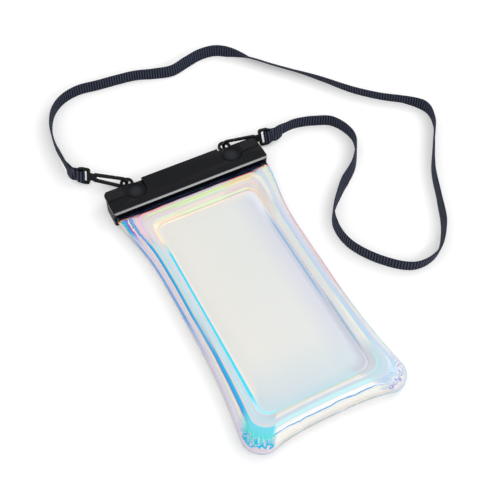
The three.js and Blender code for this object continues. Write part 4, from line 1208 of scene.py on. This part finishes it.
def strap_course():
    """The whole webbing from one folded end, round its hook's eye, along the route, and round the
    other eye: middle line, direction of its width, and the samples where its three pieces part."""
    points = [Vector((x * MM, y * MM, STRAP_Z + lift * MM)) for x, y, lift in STRAP_ROUTE]
    frames = {word: hook_matrix(word) for word in HOOKS}
    leans = {word: np.array(frames[word].to_3x3() @ Vector((0, 1, 0))) for word in HOOKS}
    tucked = {word: [frames[word] @ Vector((EYE_BAR_U + out, 0, 0)) for out in TUCKED]
              for word in HOOKS}
    line, length = even_curve([*tucked["left"], *points, *tucked["right"][::-1]], STRAP_SAMPLES)
    run = np.linspace(0, length, len(line))
    up = np.tile([0.0, 0.0, 1.0], (len(line), 1))
    for word, distance in (("left", run), ("right", length - run)):
        share = 1 - smooth_step(distance, *HOOK_LEAN_FADE)[:, None]
        up = up * (1 - share) + leans[word] * share
    tangent = unit(np.gradient(line, axis=0))
    places, angles = np.array(STRAP_LEAN).T
    angle = np.radians(np.interp(run, places * MM, angles))[:, None]
    up = up * np.cos(angle) + np.cross(tangent, up) * np.sin(angle)
    line = line - np.array([0, 0, STRAP_WIDTH / 2]) * (1 - np.cos(angle))
    face = unit(np.cross(tangent, up))
    offset = PLY_OFFSET * (1 - smooth_step(np.minimum(run, length - run), *PLY_FADE))
    main = line + face * offset[:, None]
    count = int(np.searchsorted(run, PLY_LENGTH))
    start = math.asin(PLY_OFFSET / TURN_RADIUS)
    turns = np.linspace(start, 2 * math.pi - start, TURN_SAMPLES)[1:-1, None]
    ends = []
    for word, order, sense in (("left", slice(None), 1), ("right", slice(None, None, -1), -1)):
        facing = face[order][:count]
        bar = np.array(frames[word] @ Vector((EYE_BAR_U, 0, 0)))
        outward = unit(sense * tangent[order][0])
        turn = bar + TURN_RADIUS * (np.cos(turns) * outward + np.sin(turns) * facing[0])
        ply = line[order][:count] - facing * PLY_OFFSET
        width = np.vstack([np.tile(leans[word], (len(turn), 1)), up[order][:count]])
        ends.append((np.vstack([turn, ply]), width))
    (left, left_width), (right, right_width) = ends
    part = int(np.searchsorted(run, FOLD_END))
    first = len(left) + part
    last = first + len(main) - 2 * part
    return (np.vstack([left[::-1], main, right]), np.vstack([left_width[::-1], up, right_width]),
            (first, last))


class POUCH_OT_strap(bpy.types.Operator):
    """Builds the ribbed neck strap along its route, with its ends folded round the hooks' eyes"""

    bl_idname = "pouch.strap"
    bl_label = "Neck strap"

    def execute(self, context):
        strap = context.scene.pouch_strap
        material = webbing_shader()
        line, across, (first, last) = strap_course()
        run = run_along(line)
        pieces = (("neck_strap", first, last, "lanyard_strap"),
                  ("strap_turn_left", 0, first, "strap_end_left"),
                  ("strap_turn_right", last, len(line) - 1, "strap_end_right"))
        for name, low, high, node in pieces:
            samples = slice(low, high + 1)
            mesh = ribbon_mesh(name, line[samples], across[samples], strap, run[low])
            piece = new_piece(name, mesh, material, "pouch", [node])
        return {"FINISHED"}


class POUCH_OT_stitches(bpy.types.Operator):
    """Builds the stitches through the strap's folded ends"""

    bl_idname = "pouch.stitches"
    bl_label = "Stitches"

    def execute(self, context):
        strap = context.scene.pouch_strap
        thread = thread_shader()
        tree = scatter_tree("stitch_rows")
        for word in HOOKS:
            stitches = scattered(tree, f"strap_stitches_{word}", {
                "Size X": STITCH_ROW_GAP, "Size Y": (strap.stitch_count - 1) * STITCH_PITCH,
                "Vertices X": 2, "Vertices Y": strap.stitch_count, "Segments": 8, "Rings": 6,
                "Radius": 0.5 * strap.stitch_length, "Item Scale": (0.3, 1.0, 0.3),
                "Material": thread,
            })
            for height in (1, -1):
                copy = stitches.copy()
                lift = height * (PLY_OFFSET + strap.thickness / 2)
                local = Matrix.Translation((EYE_BAR_U + STITCHES_OUT, 0, lift))
                copy.transform(hook_matrix(word) @ local)
                face = "upper" if height > 0 else "lower"
                new_piece(f"strap_stitches_{word}_{face}", copy, thread, "pouch")
        return {"FINISHED"}


# Stage
FLOOR_REACH, FLOOR_DROP = 3.0, 0.2 * MM
FLOOR_GREY, FLOOR_GLOW = 0.86, 0.2
# Area lamps: place, target, width and height, power in watts
LAMPS = {
    "key": ((0.82, 0.1, 0.8), (0.02, 0.03, 0.0), (0.5, 0.5), 2.4),
    "front_strip": ((0.19, -0.51, 0.48), (0.0, FRONT_Y, 0.01), (1.0, 0.06), 1.1),
}


def aimed(thing, place, target):
    """Puts a camera or lamp at a place, looking at a target."""
    thing.location = place
    look = Vector(target) - Vector(place)
    thing.rotation_euler = look.to_track_quat("-Z", "Y").to_euler()


class POUCH_OT_stage(bpy.types.Operator):
    """Sets the camera, the floor, the lamps and the world"""

    bl_idname = "pouch.stage"
    bl_label = "Stage"

    def execute(self, context):
        stage = context.scene.pouch_stage
        scene = context.scene
        scene.view_settings.view_transform = "Standard"
        data = bpy.data.cameras.new("camera")
        data.lens = stage.lens
        data.sensor_width = 36
        data.clip_start, data.clip_end = 0.01, 20
        scene.camera = new_object("camera", data)
        aimed(scene.camera, stage.eye, stage.target)
        self.floor()
        for name, (place, target, size, power) in LAMPS.items():
            lamp = bpy.data.lights.new(name, "AREA")
            lamp.shape = "RECTANGLE"
            lamp.size, lamp.size_y = size
            lamp.energy = power
            aimed(new_object(name, lamp), place, target)
        s = Shader("soft_studio", "worlds")
        seen = s.node("ShaderNodeLightPath").outputs["Is Camera Ray"]
        strength = s.between(seen, stage.world_level, 1.0)
        light = {"Color": (1, 1, 1, 1), "Strength": strength}
        scene.world = s.finished(s.node("ShaderNodeBackground", light), "World")
        return {"FINISHED"}

    def floor(self):
        """A white floor that glows a little where it is seen, but lights nothing."""
        s = Shader("white_floor")
        path = s.node("ShaderNodeLightPath").outputs
        seen = s.math("MAXIMUM", path["Is Camera Ray"], path["Is Glossy Ray"])
        seen = s.math("MAXIMUM", seen, path["Is Transmission Ray"])
        grey = s.node("ShaderNodeBsdfDiffuse", {
            "Color": colour4([FLOOR_GREY] * 3), "Roughness": 1.0})
        glow = s.node("ShaderNodeEmission", {
            "Color": (1, 1, 1, 1), "Strength": s.times(seen, FLOOR_GLOW)})
        both = s.node("ShaderNodeAddShader", {0: grey.outputs[0], 1: glow.outputs[0]})
        corners = [(x * FLOOR_REACH, y * FLOOR_REACH, -FLOOR_DROP)
                   for x, y in ((-1, -1), (1, -1), (1, 1), (-1, 1))]
        mesh = bpy.data.meshes.new("floor")
        mesh.from_pydata(corners, [], [(0, 1, 2, 3)])
        painted(mesh, s.finished(both))
        new_object("floor", mesh)


class POUCH_PT_panel(bpy.types.Panel):
    """Lists the pouch's pieces and settings in the sidebar"""

    bl_idname = "POUCH_PT_panel"
    bl_label = "Phone Pouch"
    bl_space_type = "VIEW_3D"
    bl_region_type = "UI"
    bl_category = "Pouch"

    def draw(self, context):
        for name in OPERATORS:
            self.layout.operator(f"pouch.{name}")
        for group in ("pouch_film", "pouch_clamp", "pouch_strap", "pouch_stage"):
            settings = getattr(context.scene, group)
            box = self.layout.box()
            for key in settings.bl_rna.properties.keys():
                if key not in {"rna_type", "name"}:
                    box.prop(settings, key)


# Order of making: the camera and the strap come first
OPERATORS = ("stage", "strap", "stitches", "film", "windows", "clamp", "levers", "seals", "hooks")
SETTINGS = {
    "pouch_film": PouchFilmSettings,
    "pouch_clamp": PouchClampSettings,
    "pouch_strap": PouchStrapSettings,
    "pouch_stage": PouchStageSettings,
}
CLASSES = (
    *SETTINGS.values(), POUCH_OT_stage, POUCH_OT_strap, POUCH_OT_stitches, POUCH_OT_film,
    POUCH_OT_windows, POUCH_OT_clamp, POUCH_OT_levers, POUCH_OT_seals, POUCH_OT_hooks,
    POUCH_PT_panel,
)


def register():
    for entry in CLASSES:
        bpy.utils.register_class(entry)
    for name, group in SETTINGS.items():
        setattr(bpy.types.Scene, name, PointerProperty(type=group))


def unregister():
    for name in SETTINGS:
        delattr(bpy.types.Scene, name)
    for entry in reversed(CLASSES):
        bpy.utils.unregister_class(entry)


def main():
    register()
    for name in OPERATORS:
        getattr(bpy.ops.pouch, name)()
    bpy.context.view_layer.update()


if __name__ == "__main__":
    main()
